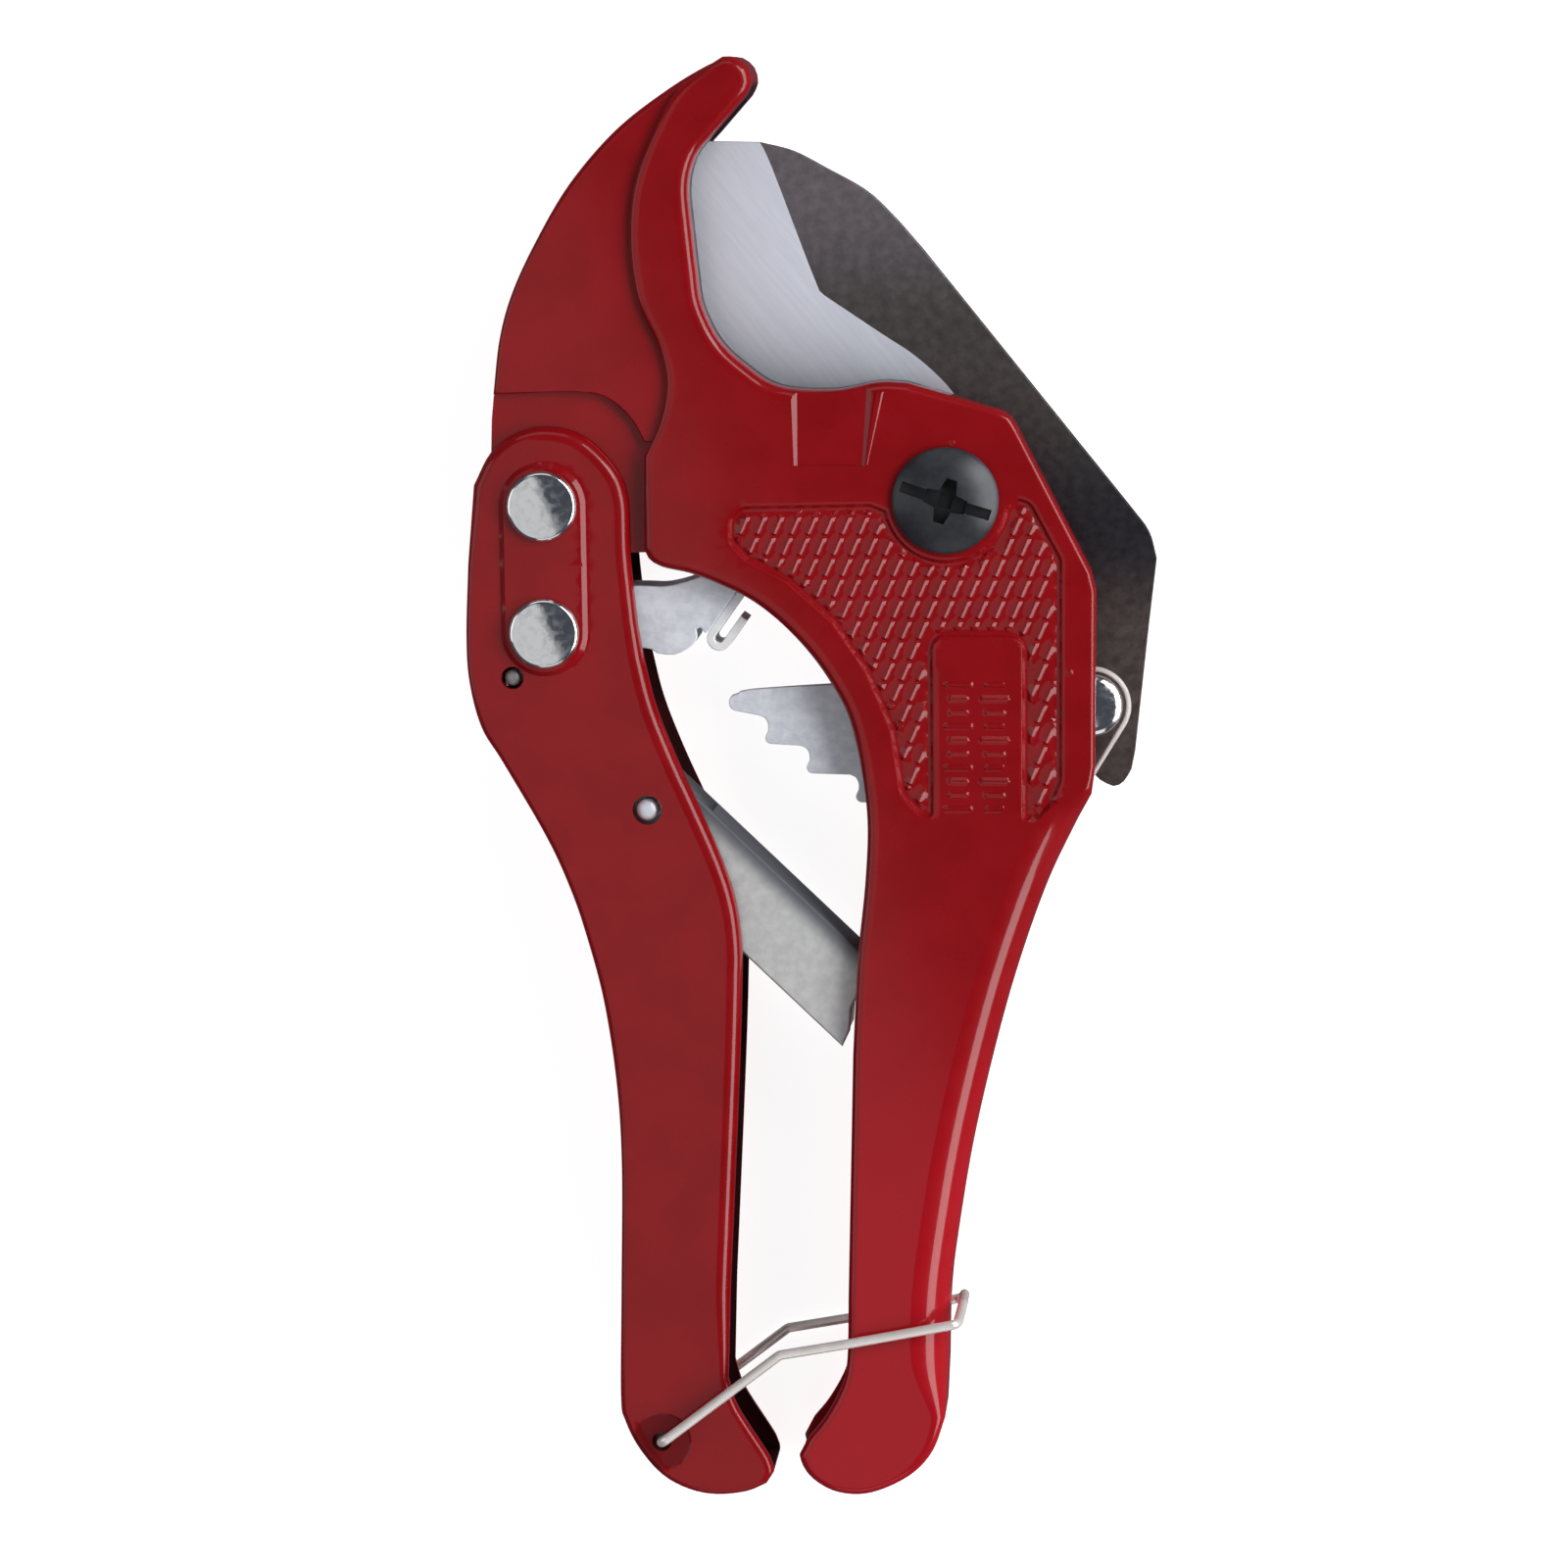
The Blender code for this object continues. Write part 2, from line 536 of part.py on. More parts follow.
def rack_outline():
    """The toothed plate: a thin tip, square steps along its lower side and a round eye at the rivet."""
    top = [(-30.6, -28.1), (-28.9, -27.4), (-17.3, -26.6), (14.0, -25.0)]
    eye = arc(RACK_PIVOT, RACK_EYE, 105, -75, 8)
    belly = [(14.5, -33.0), (9.0, -32.6), (4.5, -38.5), (0.5, -45.0), (-2.5, -46.8)]
    steps = ((-6.4, -43.4, -46.8), (-13.0, -39.4, -43.4), (-20.0, -35.3, -39.3),
             (-25.9, -31.0, -35.1))
    teeth = []
    for x, high, low in steps:
        middle = (low + high) / 2
        teeth += [(x + 0.9, low), (x, low + 0.8), (x + 0.4, middle), (x, high - 0.6), (x - 0.8, high)]
    tip = [(-30.6, -30.0), (-31.4, -29.0)]
    return top + eye + belly + teeth + tip


def build_rack(look):
    rack = slab("ratchet_rack", rack_outline(), *RACK_Z, pivot=RACK_PIVOT, look=look)
    bore(rack, RACK_PIVOT, RACK_SHANK + GAP, segments=16)
    return rack


def build_rack_rivet(look):
    near_seat = RACK_Z[1] + GAP
    far_seat = -BLADE_HALF - GAP
    head = [(0, 5.9), (3.4, 5.7), (4.4, 5.1), (4.6, 4.6), (4.6, near_seat)]
    shank = [(RACK_SHANK, near_seat), (RACK_SHANK, far_seat)]
    foot = [(4.2, far_seat), (4.2, -2.8), (3.4, -3.3), (0, -3.3)]
    return turned("rack_rivet", head + shank + foot, RACK_PIVOT, look, segments=20)


def build_rack_spring(look):
    """A hairpin spring round the rack rivet's head, with its lower leg hooked round the blade's heel."""
    loop = arc(RACK_PIVOT, SPRING_LOOP, 85, -32, 8)
    hook = [(20.5, -39.5, SPRING_Z), (20.1, -40.1, 4.2), (20.0, -40.2, -1.0)]
    path = [(13.5, -24.6, SPRING_Z)] + [(x, y, SPRING_Z) for x, y in loop] + hook
    return wire("rack_spring", path, 0.33, BLADE_PIVOT, look)


# ---------------------------------------------------------------- pawl

def pawl_outline():
    """One flange of the pawl with the folded lip at its lower right."""
    eye = arc(PAWL_PIVOT, 6.0, 270, 100, 8)
    top = [(-50.0, -12.6), (-43.4, -12.5), (-39.7, -12.5), (-35.6, -11.4), (-32.5, -10.0),
           (-30.2, -10.9), (-29.9, -13.9)]
    fold_inside = [(-33.2, -18.9), (-32.7, -19.6), (-31.5, -19.5), (-27.8, -15.7)]
    fold_outside = [(-26.9, -16.4), (-30.8, -20.6), (-32.4, -21.2), (-34.2, -20.9)]
    foot = [(-36.3, -22.0), (-38.8, -22.5), (-43.2, -21.6), (-50.0, -24.0)]
    return eye + top + fold_inside + fold_outside + foot


def build_pawl(look):
    """A folded pawl: two flanges that straddle the rack, joined by the lip that pushes its teeth."""
    pawl = slab("pawl", pawl_outline(), -PAWL_HALF, PAWL_HALF, pivot=PAWL_PIVOT, look=look)
    inside = PAWL_HALF - PAWL_WALL
    between = [(-66.0, -6.0), (-29.4, -6.0), (-29.4, -14.6), (-34.2, -19.8), (-36.0, -26.0),
               (-66.0, -28.0)]
    cut(pawl, slab("pawl_guide", between, -inside, inside))
    bore(pawl, PAWL_PIVOT, PAWL_SHANK + GAP, segments=16)
    return pawl


def build_pawl_spring(look):
    """A torsion spring on the pawl's rivet; one leg rests on the anchor pin."""
    coil = coil_points(PAWL_PIVOT, 3.9, -3.25, 0.95, 190, -3.4)
    anchor_leg = [(-63.6, -28.0, -3.4), (-63.3, -25.6, -3.4)]
    pawl_leg = [(-52.4, -14.6, coil[-1][2]), (-41.0, -14.9, coil[-1][2])]
    return wire("pawl_spring", anchor_leg + coil + pawl_leg, 0.4, PAWL_PIVOT, look)


# ---------------------------------------------------------------- spring arm

def arm_point(along, up):
    """A point of the arm, from its distance along the arm and its height above the arm's middle line."""
    c, s = math.cos(ARM_ANGLE), math.sin(ARM_ANGLE)
    return (ARM_PIVOT[0] + along * c - up * s, ARM_PIVOT[1] + along * s + up * c)


def build_spring_arm(look):
    """A folded strut: two flanges and a web, with a narrow tongue that slides in the fixed handle."""
    reach = ARM_REACH
    root = arc((0.0, 0.0), reach, 90, 270, 10)
    side = root + [(43.4, -reach), (40.6, -1.0), (39.6, reach - 2.0), (39.6, reach)]
    arm = slab("spring_arm", [arm_point(*p) for p in side], -ARM_HALF, ARM_HALF,
               pivot=ARM_PIVOT, look=look)
    tongue = [(36.0, 4.65), (54.6, 4.65), (55.1, 4.2), (55.1, 3.0), (56.3, 2.6), (57.0, 3.2),
              (57.0, 4.8), (56.2, 5.6), (36.0, 5.6)]
    add(arm, slab("tongue_guide", [arm_point(*p) for p in tongue], -4.0, 4.0))
    inside = ARM_HALF - ARM_WALL
    web = reach - ARM_WALL
    hollow = [(-8.0, 8.0), (7.0, 8.0), (7.0, web), (46.0, web), (46.0, -8.0), (-8.0, -8.0)]
    cut(arm, slab("hollow_guide", [arm_point(*p) for p in hollow], -inside, inside))
    bore(arm, ARM_PIVOT, ARM_PIN_RADIUS + GAP, segments=16)
    return arm


def build_arm_spring(look):
    """A torsion spring on the arm's pin; its legs press the handle's spine and the arm's web."""
    coil = coil_points(ARM_PIVOT, 2.4, 4.25, 1.0, 150, -2.2)
    spine_leg = [(-48.6, -55.4, -2.2), (-46.2, -49.0, -2.2)]
    web = [arm_point(8.0, 2.2), arm_point(22.0, 3.4)]
    web_leg = [(x, y, coil[-1][2]) for x, y in web]
    return wire("arm_spring", spine_leg + coil + web_leg, 0.45, ARM_PIVOT, look)


# ---------------------------------------------------------------- lock bail

def build_bail(look):
    """The wire loop that hooks over the fixed handle and keeps the tool shut."""
    near = [(x, y, BAIL_HALF) for x, y in (BAIL_PIVOT, (-23.3, -121.9), (-13.6, -120.2), (2.0, -117.2))]
    cross = [(2.6, -115.4, 4.0), (2.6, -115.4, -4.0)]
    far = [(x, y, -z) for x, y, z in reversed(near)]
    corners = [(*BAIL_PIVOT, 6.4)] + near + cross + far + [(*BAIL_PIVOT, -6.4)]
    return wire("lock_bail", bent_wire_points(corners, 1.2), BAIL_WIRE, BAIL_PIVOT, look, resolution=2)


def main():
    for obj in list(bpy.data.objects):
        bpy.data.objects.remove(obj, do_unlink=True)
    paint = material("red_paint", (0.32, 0.01, 0.015), 0.0, 0.3)
    blade_steel = material("blade_steel", (0.09, 0.09, 0.1), 0.8, 0.4)
    zinc = material("zinc_plate", (0.62, 0.63, 0.64), 1.0, 0.3)
    bright = material("bright_steel", (0.8, 0.8, 0.79), 1.0, 0.2)
    black = material("black_oxide", (0.03, 0.033, 0.036), 0.6, 0.35)

    build_body(paint)
    build_moving_handle(paint)
    build_blade(blade_steel)
    build_pivot_screw(black)
    build_nut(black)
    build_lock_washer(black)
    washers = (("blade_washer_near", SLOT_HALF), ("blade_washer_far", -SLOT_HALF - WASHER_THICKNESS))
    for name, low in washers:
        ring_washer(name, SCREW_SHOULDER + GAP, WASHER_RADIUS, low, low + WASHER_THICKNESS,
                    BLADE_PIVOT, zinc)
    build_handle_rivets(bright)
    build_pins(zinc)
    build_rack(zinc)
    build_rack_rivet(bright)
    build_rack_spring(bright)
    build_pawl(zinc)
    build_pawl_spring(bright)
    build_spring_arm(zinc)
    build_arm_spring(bright)
    build_bail(bright)


main()
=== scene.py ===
"""The looks of the ratchet pipe cutter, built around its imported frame.

Shapes are written in millimetres from the blade's pivot, as in the part: X runs across the handles,
Y towards the jaw and Z through the thickness, with z = 0 on the mid-plane. place() turns them into
the frame's metres. The pivots and the heights of the faces are read from the frame.
"""

import itertools
import json
import math

import bmesh
import bpy
import numpy as np
from mathutils import Matrix, Vector
from mathutils.geometry import delaunay_2d_cdt


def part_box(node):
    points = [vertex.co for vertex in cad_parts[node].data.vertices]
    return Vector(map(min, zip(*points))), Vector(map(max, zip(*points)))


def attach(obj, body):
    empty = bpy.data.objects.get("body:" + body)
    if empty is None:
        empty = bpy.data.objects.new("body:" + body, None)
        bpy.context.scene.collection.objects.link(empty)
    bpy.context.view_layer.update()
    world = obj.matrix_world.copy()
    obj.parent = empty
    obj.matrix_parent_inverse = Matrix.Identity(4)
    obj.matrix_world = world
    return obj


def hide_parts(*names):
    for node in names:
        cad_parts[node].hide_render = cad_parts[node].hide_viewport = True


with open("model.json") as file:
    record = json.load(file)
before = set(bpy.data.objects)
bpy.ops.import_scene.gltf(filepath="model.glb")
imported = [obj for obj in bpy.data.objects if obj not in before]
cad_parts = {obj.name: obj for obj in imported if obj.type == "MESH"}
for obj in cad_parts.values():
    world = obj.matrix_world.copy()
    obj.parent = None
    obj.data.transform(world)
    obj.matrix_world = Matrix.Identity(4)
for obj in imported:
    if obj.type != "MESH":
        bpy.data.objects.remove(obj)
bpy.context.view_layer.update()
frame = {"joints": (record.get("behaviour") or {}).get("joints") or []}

MM = 0.001
JOINTS = {joint["name"]: Vector(joint["pos_m"]) / MM for joint in frame["joints"]}
ORIGIN = JOINTS["blade_pivot"]


def joint_at(name):
    """Where a joint's axis crosses the mid-plane, in design millimetres."""
    return tuple((JOINTS[name] - ORIGIN).xy)


def centre_of(node):
    low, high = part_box(node)
    return tuple(((low + high) / 2 / MM - ORIGIN).xy)


def top_of(node):
    """The height of a node's near face above the mid-plane."""
    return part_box(node)[1].z / MM - ORIGIN.z


BLADE_PIVOT = joint_at("blade_pivot")
HANDLE_PIVOT = joint_at("handle_pivot")
PAWL_PIVOT = joint_at("pawl_pivot")
RACK_PIVOT = joint_at("rack_pivot")
ARM_PIVOT = joint_at("arm_pivot")
BAIL_PIVOT = joint_at("bail_pivot")
ANCHOR = centre_of("spring_anchor_pin")

CHEEK_HALF = top_of("body_frame")
BOSS_TOP = top_of("moving_handle")
BLADE_HALF = top_of("blade")
PAWL_HALF = top_of("pawl")
RACK_TOP = top_of("ratchet_rack")
RIVET_TOP = top_of("handle_rivet")
SCREW_TOP = top_of("pivot_screw")
PIN_TOP = top_of("arm_pin")

# Half thicknesses, walls and heights inside the tool.
CRESCENT_HALF = 8.3
LUG_HALF = 7.0
CAVITY_HALF = 6.8
SLOT_HALF = 1.8
BOSS_RISE = 0.6
HANDLE_HALF = BOSS_TOP - BOSS_RISE
HANDLE_WALL = 2.0
SPINE_WALL = 2.6
RACK_LOW = 1.8
PAWL_WALL = 1.2
SPRING_Z = 4.9

# The spring arm: its flanges' half width, half thickness and wall, and its slope at rest.
ARM_REACH = 5.85
ARM_HALF = 6.4
ARM_WALL = 1.2
ARM_ANGLE = math.radians(-43.3)

# Radii of the turned pieces, and of the holes that they turn in.
SCREW_SHOULDER = 4.0
SCREW_THREAD = 3.0
SCREW_HEAD = 7.5
SCREW_RIM = 10.15
NUT_CORNER = 5.77
NUT_POCKET = 6.15
NUT_SEAT = -5.2
NUT_FACES = (-11.3, -6.9)
WASHER_SEAT = 9.0
WASHER_SEAT_HALF = 2.5
RIVET_HEAD = 5.0
ARM_PIN = 1.6
ANCHOR_PIN = 1.15
FIT = 0.15
RIVET_HOLE = 3.6
PAWL_HOLE = 3.1
RACK_HOLE = 2.5
ANCHOR_HOLE = 1.6
ARM_HOLE = 2.1
BAIL_HOLE = 1.4

# How far the blade's head, tail and hub reach from its pivot, with clearance.
HEAD_REACH = 63.0
TAIL_REACH = 48.6
HUB_REACH = 14.5
TAIL_SPACE = 25.0

# Sampling: the step along outlines, the steps round an edge, and the angle that shows as an edge.
SAMPLE = 1.0
ROUND_STEPS = 5
SHARP_ANGLE = math.radians(22)

# How far a cutting tool reaches either side of the mid-plane, unless it stops inside.
THROUGH = 15.0

# How bright the studio is: the main lights, the fills, the panel overhead and the dim room.
KEY = 5.2
FILL = 1.0
OVERHEAD = 0.5
SKY = 0.06

# The grip panel: a recess with a diamond knurl on both cheeks.
RECESS = 0.6
KNURL_HEIGHT = 0.5
KNURL_WIDE = 2.4
KNURL_TALL = 2.94
SCREW_CLEAR = 8.5
PANEL_BEND = 1.8
PANEL_CORNERS = [(10.3, 0.3), (12.0, -0.2), (16.4, -8.3), (16.5, -39.6), (14.9, -43.6), (12.4, -45.3),
                 (10.9, -45.3), (10.8, -19.3), (-1.8, -19.3), (-1.6, -45.1), (-3.6, -44.7), (-6.3, -41.7),
                 (-7.7, -32.6), (-11.2, -24.4), (-16.1, -17.2), (-22.6, -11.5), (-28.2, -8.6),
                 (-30.6, -6.2), (-30.6, -2.8), (-28.9, -1.0), (-10.6, -0.6)]

# The plain plate in the panel: where its graduation bars stand and how long they are.
MARK_COLUMNS = (1.9, 7.0)
MARK_ROWS = 10
MARK_TOP = -26.0
MARK_SPACING = 1.95
LONG_MARK = 1.7
SHORT_MARK = 1.1
# Two specks of metal left by the casting: their centres and radii, and the boxes that are meshed finely.
FLECKS = [((17.6, -24.2), 0.55), ((1.0, 8.15), 0.4)]
FLECK_BOXES = [((16.9, -24.9), (18.3, -23.5)), ((0.5, 7.6), (1.5, 8.7))]

# The fixed handle's outside, from the toe up to the body, and the moving handle's outside.
FIXED_TOE = [(-20.6, -136.8), (-20.1, -138.4), (-18.7, -140.2), (-15.8, -141.9), (-12.1, -142.4),
             (-8.4, -141.5), (-4.3, -139.2), (-1.5, -135.9), (0.2, -131.2)]
FIXED_SPINE = [(0.6, -124.0), (0.8, -114.6), (1.7, -106.4), (4.1, -91.7), (7.4, -77.1), (10.7, -65.3),
               (14.6, -54.2), (18.7, -45.4)]
MOVING_SPINE = [(-67.6, -9.3), (-67.9, -19.4), (-67.5, -26.0), (-65.8, -32.5), (-62.7, -37.6),
                (-56.6, -48.1), (-53.3, -55.3), (-51.0, -62.0), (-48.5, -71.5), (-46.7, -83.4),
                (-46.0, -95.5), (-46.1, -113.5), (-46.2, -128.5), (-45.6, -132.0), (-43.6, -136.0),
                (-40.3, -139.8), (-36.4, -141.9), (-32.4, -142.6), (-28.1, -142.1), (-25.3, -140.9)]
# The blade's ground bevel: where it starts, above and below a sharp corner, and its cutting edge.
BEVEL_HEAD = [(-26.7, 50.1), (-25.2, 47.2), (-19.6, 32.6)]
BEVEL_FOOT = [(-18.1, 28.9), (-9.5, 23.2), (-4.9, 20.2), (-0.8, 16.6), (2.5, 12.6)]
CUTTING_EDGE = [(-37.0, 50.3), (-41.8, 43.2), (-36.1, 28.5), (-31.9, 17.7), (-22.4, 11.4), (-17.5, 8.2),
                (-13.9, 5.6)]


# ---------------------------------------------------------------- outlines

def curve(points, step=SAMPLE):
    """A smooth curve through points, sampled about every step millimetres."""
    path = [Vector(p) for p in points]
    padded = [2 * path[0] - path[1]] + path + [2 * path[-1] - path[-2]]
    result = []
    for before, start, end, after in zip(padded, padded[1:], padded[2:], padded[3:]):
        count = max(1, round((end - start).length / step))
        for index in range(count):
            t = index / count
            result.append(0.5 * (2 * start + (end - before) * t
                                 + (2 * before - 5 * start + 4 * end - after) * t ** 2
                                 + (3 * start - before - 3 * end + after) * t ** 3))
    result.append(path[-1])
    return [tuple(p) for p in result]


def arc(centre, radius, start, end, steps):
    """Points on an arc, between two angles in degrees."""
    angles = [math.radians(start + (end - start) * step / steps) for step in range(steps + 1)]
    return [(centre[0] + radius * math.cos(a), centre[1] + radius * math.sin(a)) for a in angles]


def circle(centre, radius, steps):
    return arc(centre, radius, 0, 360 * (steps - 1) / steps, steps - 1)


def bend(start, corner, end, radius, steps=3):
    """Points that turn a corner with a bend of the given radius."""
    start, corner, end = Vector(start), Vector(corner), Vector(end)
    into = (corner - start).normalized()
    out = (end - corner).normalized()
    turn = into.angle(out)
    reach = radius * math.tan(turn / 2)
    side = (out - into * out.dot(into)).normalized()
    centre = corner - into * reach + side * radius
    angles = [turn * step / steps for step in range(steps + 1)]
    return [tuple(centre + into * radius * math.sin(a) - side * radius * math.cos(a)) for a in angles]


def round_corners(corners, radius, steps=3):
    """A closed outline with each corner turned; a corner between short sides gets a smaller bend."""
    outline = []
    for index, corner in enumerate(corners):
        before = corners[index - 1]
        after = corners[(index + 1) % len(corners)]
        into = Vector(corner) - Vector(before)
        out = Vector(after) - Vector(corner)
        turn = into.angle(out)
        if turn < math.radians(4):
            outline.append(tuple(corner))
            continue
        room = 0.45 * min(into.length, out.length) / math.tan(turn / 2)
        outline += bend(before, corner, after, min(radius, room), steps)
    return outline


def resample(outline, step):
    """A closed outline with points about every step along its sides."""
    result = []
    for start, end in zip(outline, outline[1:] + outline[:1]):
        count = max(1, round((Vector(end) - Vector(start)).length / step))
        result += [tuple(Vector(start).lerp(Vector(end), index / count)) for index in range(count)]
    return result


def inset_directions(outline):
    """For each corner of an anticlockwise outline, the step that moves both of its sides inward by 1."""
    directions = []
    for index, here in enumerate(outline):
        back = (Vector(here) - Vector(outline[index - 1])).normalized()
        ahead = (Vector(outline[(index + 1) % len(outline)]) - Vector(here)).normalized()
        inward = Vector((-back.y - ahead.y, back.x + ahead.x)).normalized()
        directions.append(inward / max(0.6, inward.dot(Vector((-ahead.y, ahead.x)))))
    return directions


def offset_path(points, distance):
    """An open path moved to its left by distance."""
    moved = []
    for index, here in enumerate(points):
        start = Vector(points[max(index - 1, 0)])
        end = Vector(points[min(index + 1, len(points) - 1)])
        along = (end - start).normalized()
        moved.append((here[0] - along.y * distance, here[1] + along.x * distance))
    return moved


def anticlockwise(outline):
    area = sum(a[0] * b[1] - b[0] * a[1] for a, b in zip(outline, outline[1:] + outline[:1]))
    return area > 0


def join_stretches(stretches):
    """One anticlockwise outline from (points, edge rounding) stretches, with the rounding at each point."""
    outline = [tuple(p) for points, _ in stretches for p in points]
    rounding = [r for points, r in stretches for _ in points]
    gaps = [(Vector(b) - Vector(a)).length for a, b in zip(outline, outline[1:] + outline[:1])]
    filled, radii = [], []
    for index, gap in enumerate(gaps):
        following = (index + 1) % len(outline)
        count = max(1, round(gap / SAMPLE))
        for step in range(count):
            t = step / count
            filled.append(tuple(Vector(outline[index]).lerp(Vector(outline[following]), t)))
            radii.append(rounding[index] + (rounding[following] - rounding[index]) * t)
    if not anticlockwise(filled):
        filled.reverse()
        radii.reverse()
    for _ in range(6):
        radii = [(radii[i - 1] + 2 * r + radii[(i + 1) % len(radii)]) / 4 for i, r in enumerate(radii)]
    return filled, radii


def edge_distance(points, outline):
    """How far inside a closed outline each point lies, in millimetres; negative outside it."""
    start = np.asarray(outline, float)
    end = np.roll(start, -1, axis=0)
    along = end - start
    results = []
    for part in np.array_split(np.asarray(points, float), max(1, len(points) // 1500)):
        reach = part[:, None, :] - start[None]
        t = np.clip((reach * along).sum(-1) / (along ** 2).sum(-1), 0, 1)
        distance = np.linalg.norm(reach - t[..., None] * along, axis=-1).min(axis=1)
        straddles = (start[None, :, 1] > part[:, None, 1]) != (end[None, :, 1] > part[:, None, 1])
        rise = np.where(along[:, 1] == 0, 1e-9, along[:, 1])
        crossing = start[None, :, 0] + (part[:, None, 1] - start[None, :, 1]) / rise * along[:, 0]
        inside = (straddles & (part[:, None, 0] < crossing)).sum(axis=1) % 2 == 1
        results.append(np.where(inside, distance, -distance))
    return np.concatenate(results)


def grid_points(low, high, step):
    """Points in staggered rows that fill a rectangle."""
    points = []
    rows = int((high[1] - low[1]) / (step * 0.87)) + 1
    for row in range(rows):
        shift = 0.5 * step * (row % 2)
        columns = int((high[0] - low[0] - shift) / step) + 1
        points += [(low[0] + shift + column * step, low[1] + row * step * 0.87) for column in range(columns)]
    return points


# ---------------------------------------------------------------- solids

def place(obj, pivot=BLADE_PIVOT):
    """Links obj with its own origin on a pivot's axis, at the mid-plane."""
    bpy.context.scene.collection.objects.link(obj)
    obj.location = (Vector((*pivot, 0.0)) + ORIGIN) * MM
    return obj


def solid(name, vertices, faces, pivot=BLADE_PIVOT, look=None):
    """A mesh object from design points in millimetres, with its faces turned outward."""
    mesh = bpy.data.meshes.new(name)
    origin = Vector((*pivot, 0.0))
    mesh.from_pydata([(Vector(v) - origin) * MM for v in vertices], [], faces)
    shape = bmesh.new()
    shape.from_mesh(mesh)
    bmesh.ops.recalc_face_normals(shape, faces=shape.faces)
    shape.to_mesh(mesh)
    shape.free()
    if look:
        mesh.materials.append(look)
    return place(bpy.data.objects.new(name, mesh), pivot)


def rounded_rings(outline, radii, low, high, steps):
    """Rings of points from the near face's rim, over both rounded edges, to the far face's rim."""
    inward = inset_directions(outline)
    levels = [(0.0, 0.0)]
    if max(radii) > 0:
        angles = [math.pi / 2 * step / steps for step in range(steps + 1)]
        levels = [(1 - math.sin(a), 1 - math.cos(a)) for a in angles]
    rings = []
    for face, into, order in ((high, -1, levels), (low, 1, levels[::-1])):
        for inset, drop in order:
            rings.append([(x + i.x * r * inset, y + i.y * r * inset, face + into * r * drop)
                          for (x, y), i, r in zip(outline, inward, radii)])
    return rings


def ring_faces(rings, count):
    faces = []
    for ring in range(rings - 1):
        for side in range(count):
            following = (side + 1) % count
            faces.append([ring * count + side, ring * count + following,
                          (ring + 1) * count + following, (ring + 1) * count + side])
    return faces


def slab(name, outline, low, high, rounding=0.0, steps=ROUND_STEPS, pivot=BLADE_PIVOT, look=None):
    """A plate between two heights whose edges are rounded; rounding is one radius or one for each point."""
    outline = list(outline)
    radii = list(rounding) if isinstance(rounding, list) else [rounding] * len(outline)
    if not anticlockwise(outline):
        outline.reverse()
        radii.reverse()
    rings = rounded_rings(outline, radii, low, high, steps)
    count = len(outline)
    vertices = [v for ring in rings for v in ring]
    faces = ring_faces(len(rings), count)
    faces += [list(range(count)), list(range(len(vertices) - count, len(vertices)))]
    return solid(name, vertices, faces, pivot, look)


def patch(rim, seeds):
    """Fills a flat rim with triangles through the seeds inside it: the inner points and the faces.

    A row of small triangles inside the rim keeps the shading of the flat face even.
    """
    margin, row = 0.45, 0.5
    inner = [seed for seed, depth in zip(seeds, edge_distance(seeds, rim)) if depth > row + margin]
    sign = 1 if anticlockwise(rim) else -1
    band = [(x + sign * i.x * row, y + sign * i.y * row) for (x, y), i in zip(rim, inset_directions(rim))]
    inner += [point for point, depth in zip(band, edge_distance(band, rim)) if depth > margin]
    count = len(rim)
    edges = [(i, (i + 1) % count) for i in range(count)]
    points = [Vector(p) for p in rim + inner]
    _, _, faces, origins, _, _ = delaunay_2d_cdt(points, edges, [], 1, 1e-6)
    index = [origin[0] for origin in origins]
    return [tuple(p) for p in inner], [[index[corner] for corner in face] for face in faces]


def relief_slab(name, outline, radii, half, relief, seeds, pivot, look):
    """A rounded plate whose two faces are moulded: relief gives the height added at each inner point."""
    rings = rounded_rings(outline, radii, -half, half, ROUND_STEPS)
    count = len(outline)
    vertices = [v for ring in rings for v in ring]
    faces = ring_faces(len(rings), count)
    for side, first in ((1, 0), (-1, len(vertices) - count)):
        rim = [tuple(v[:2]) for v in vertices[first:first + count]]
        inner, triangles = patch(rim, seeds)
        base = len(vertices)
        heights = relief(np.array(inner))
        vertices += [(x, y, side * (half + height)) for (x, y), height in zip(inner, heights)]
        faces += [[first + i if i < count else base + i - count for i in face] for face in triangles]
    return solid(name, vertices, faces, pivot, look)


def turned(name, profile, pivot, look=None, segments=64):
    """A turned piece: profile is (radius, z) from the top of the axis down to its foot."""
    inner = profile[1:-1]
    vertices = [(pivot[0], pivot[1], profile[0][1])]
    for radius, z in inner:
        vertices += [(x, y, z) for x, y in circle(pivot, radius, segments)]
    vertices.append((pivot[0], pivot[1], profile[-1][1]))
    last = len(vertices) - 1
    foot = 1 + (len(inner) - 1) * segments
    faces = []
    for side in range(segments):
        following = (side + 1) % segments
        faces.append([0, 1 + side, 1 + following])
        for ring in range(len(inner) - 1):
            upper = 1 + ring * segments
            lower = upper + segments
            faces.append([upper + side, lower + side, lower + following, upper + following])
        faces.append([foot + side, last, foot + following])
    return solid(name, vertices, faces, pivot, look)


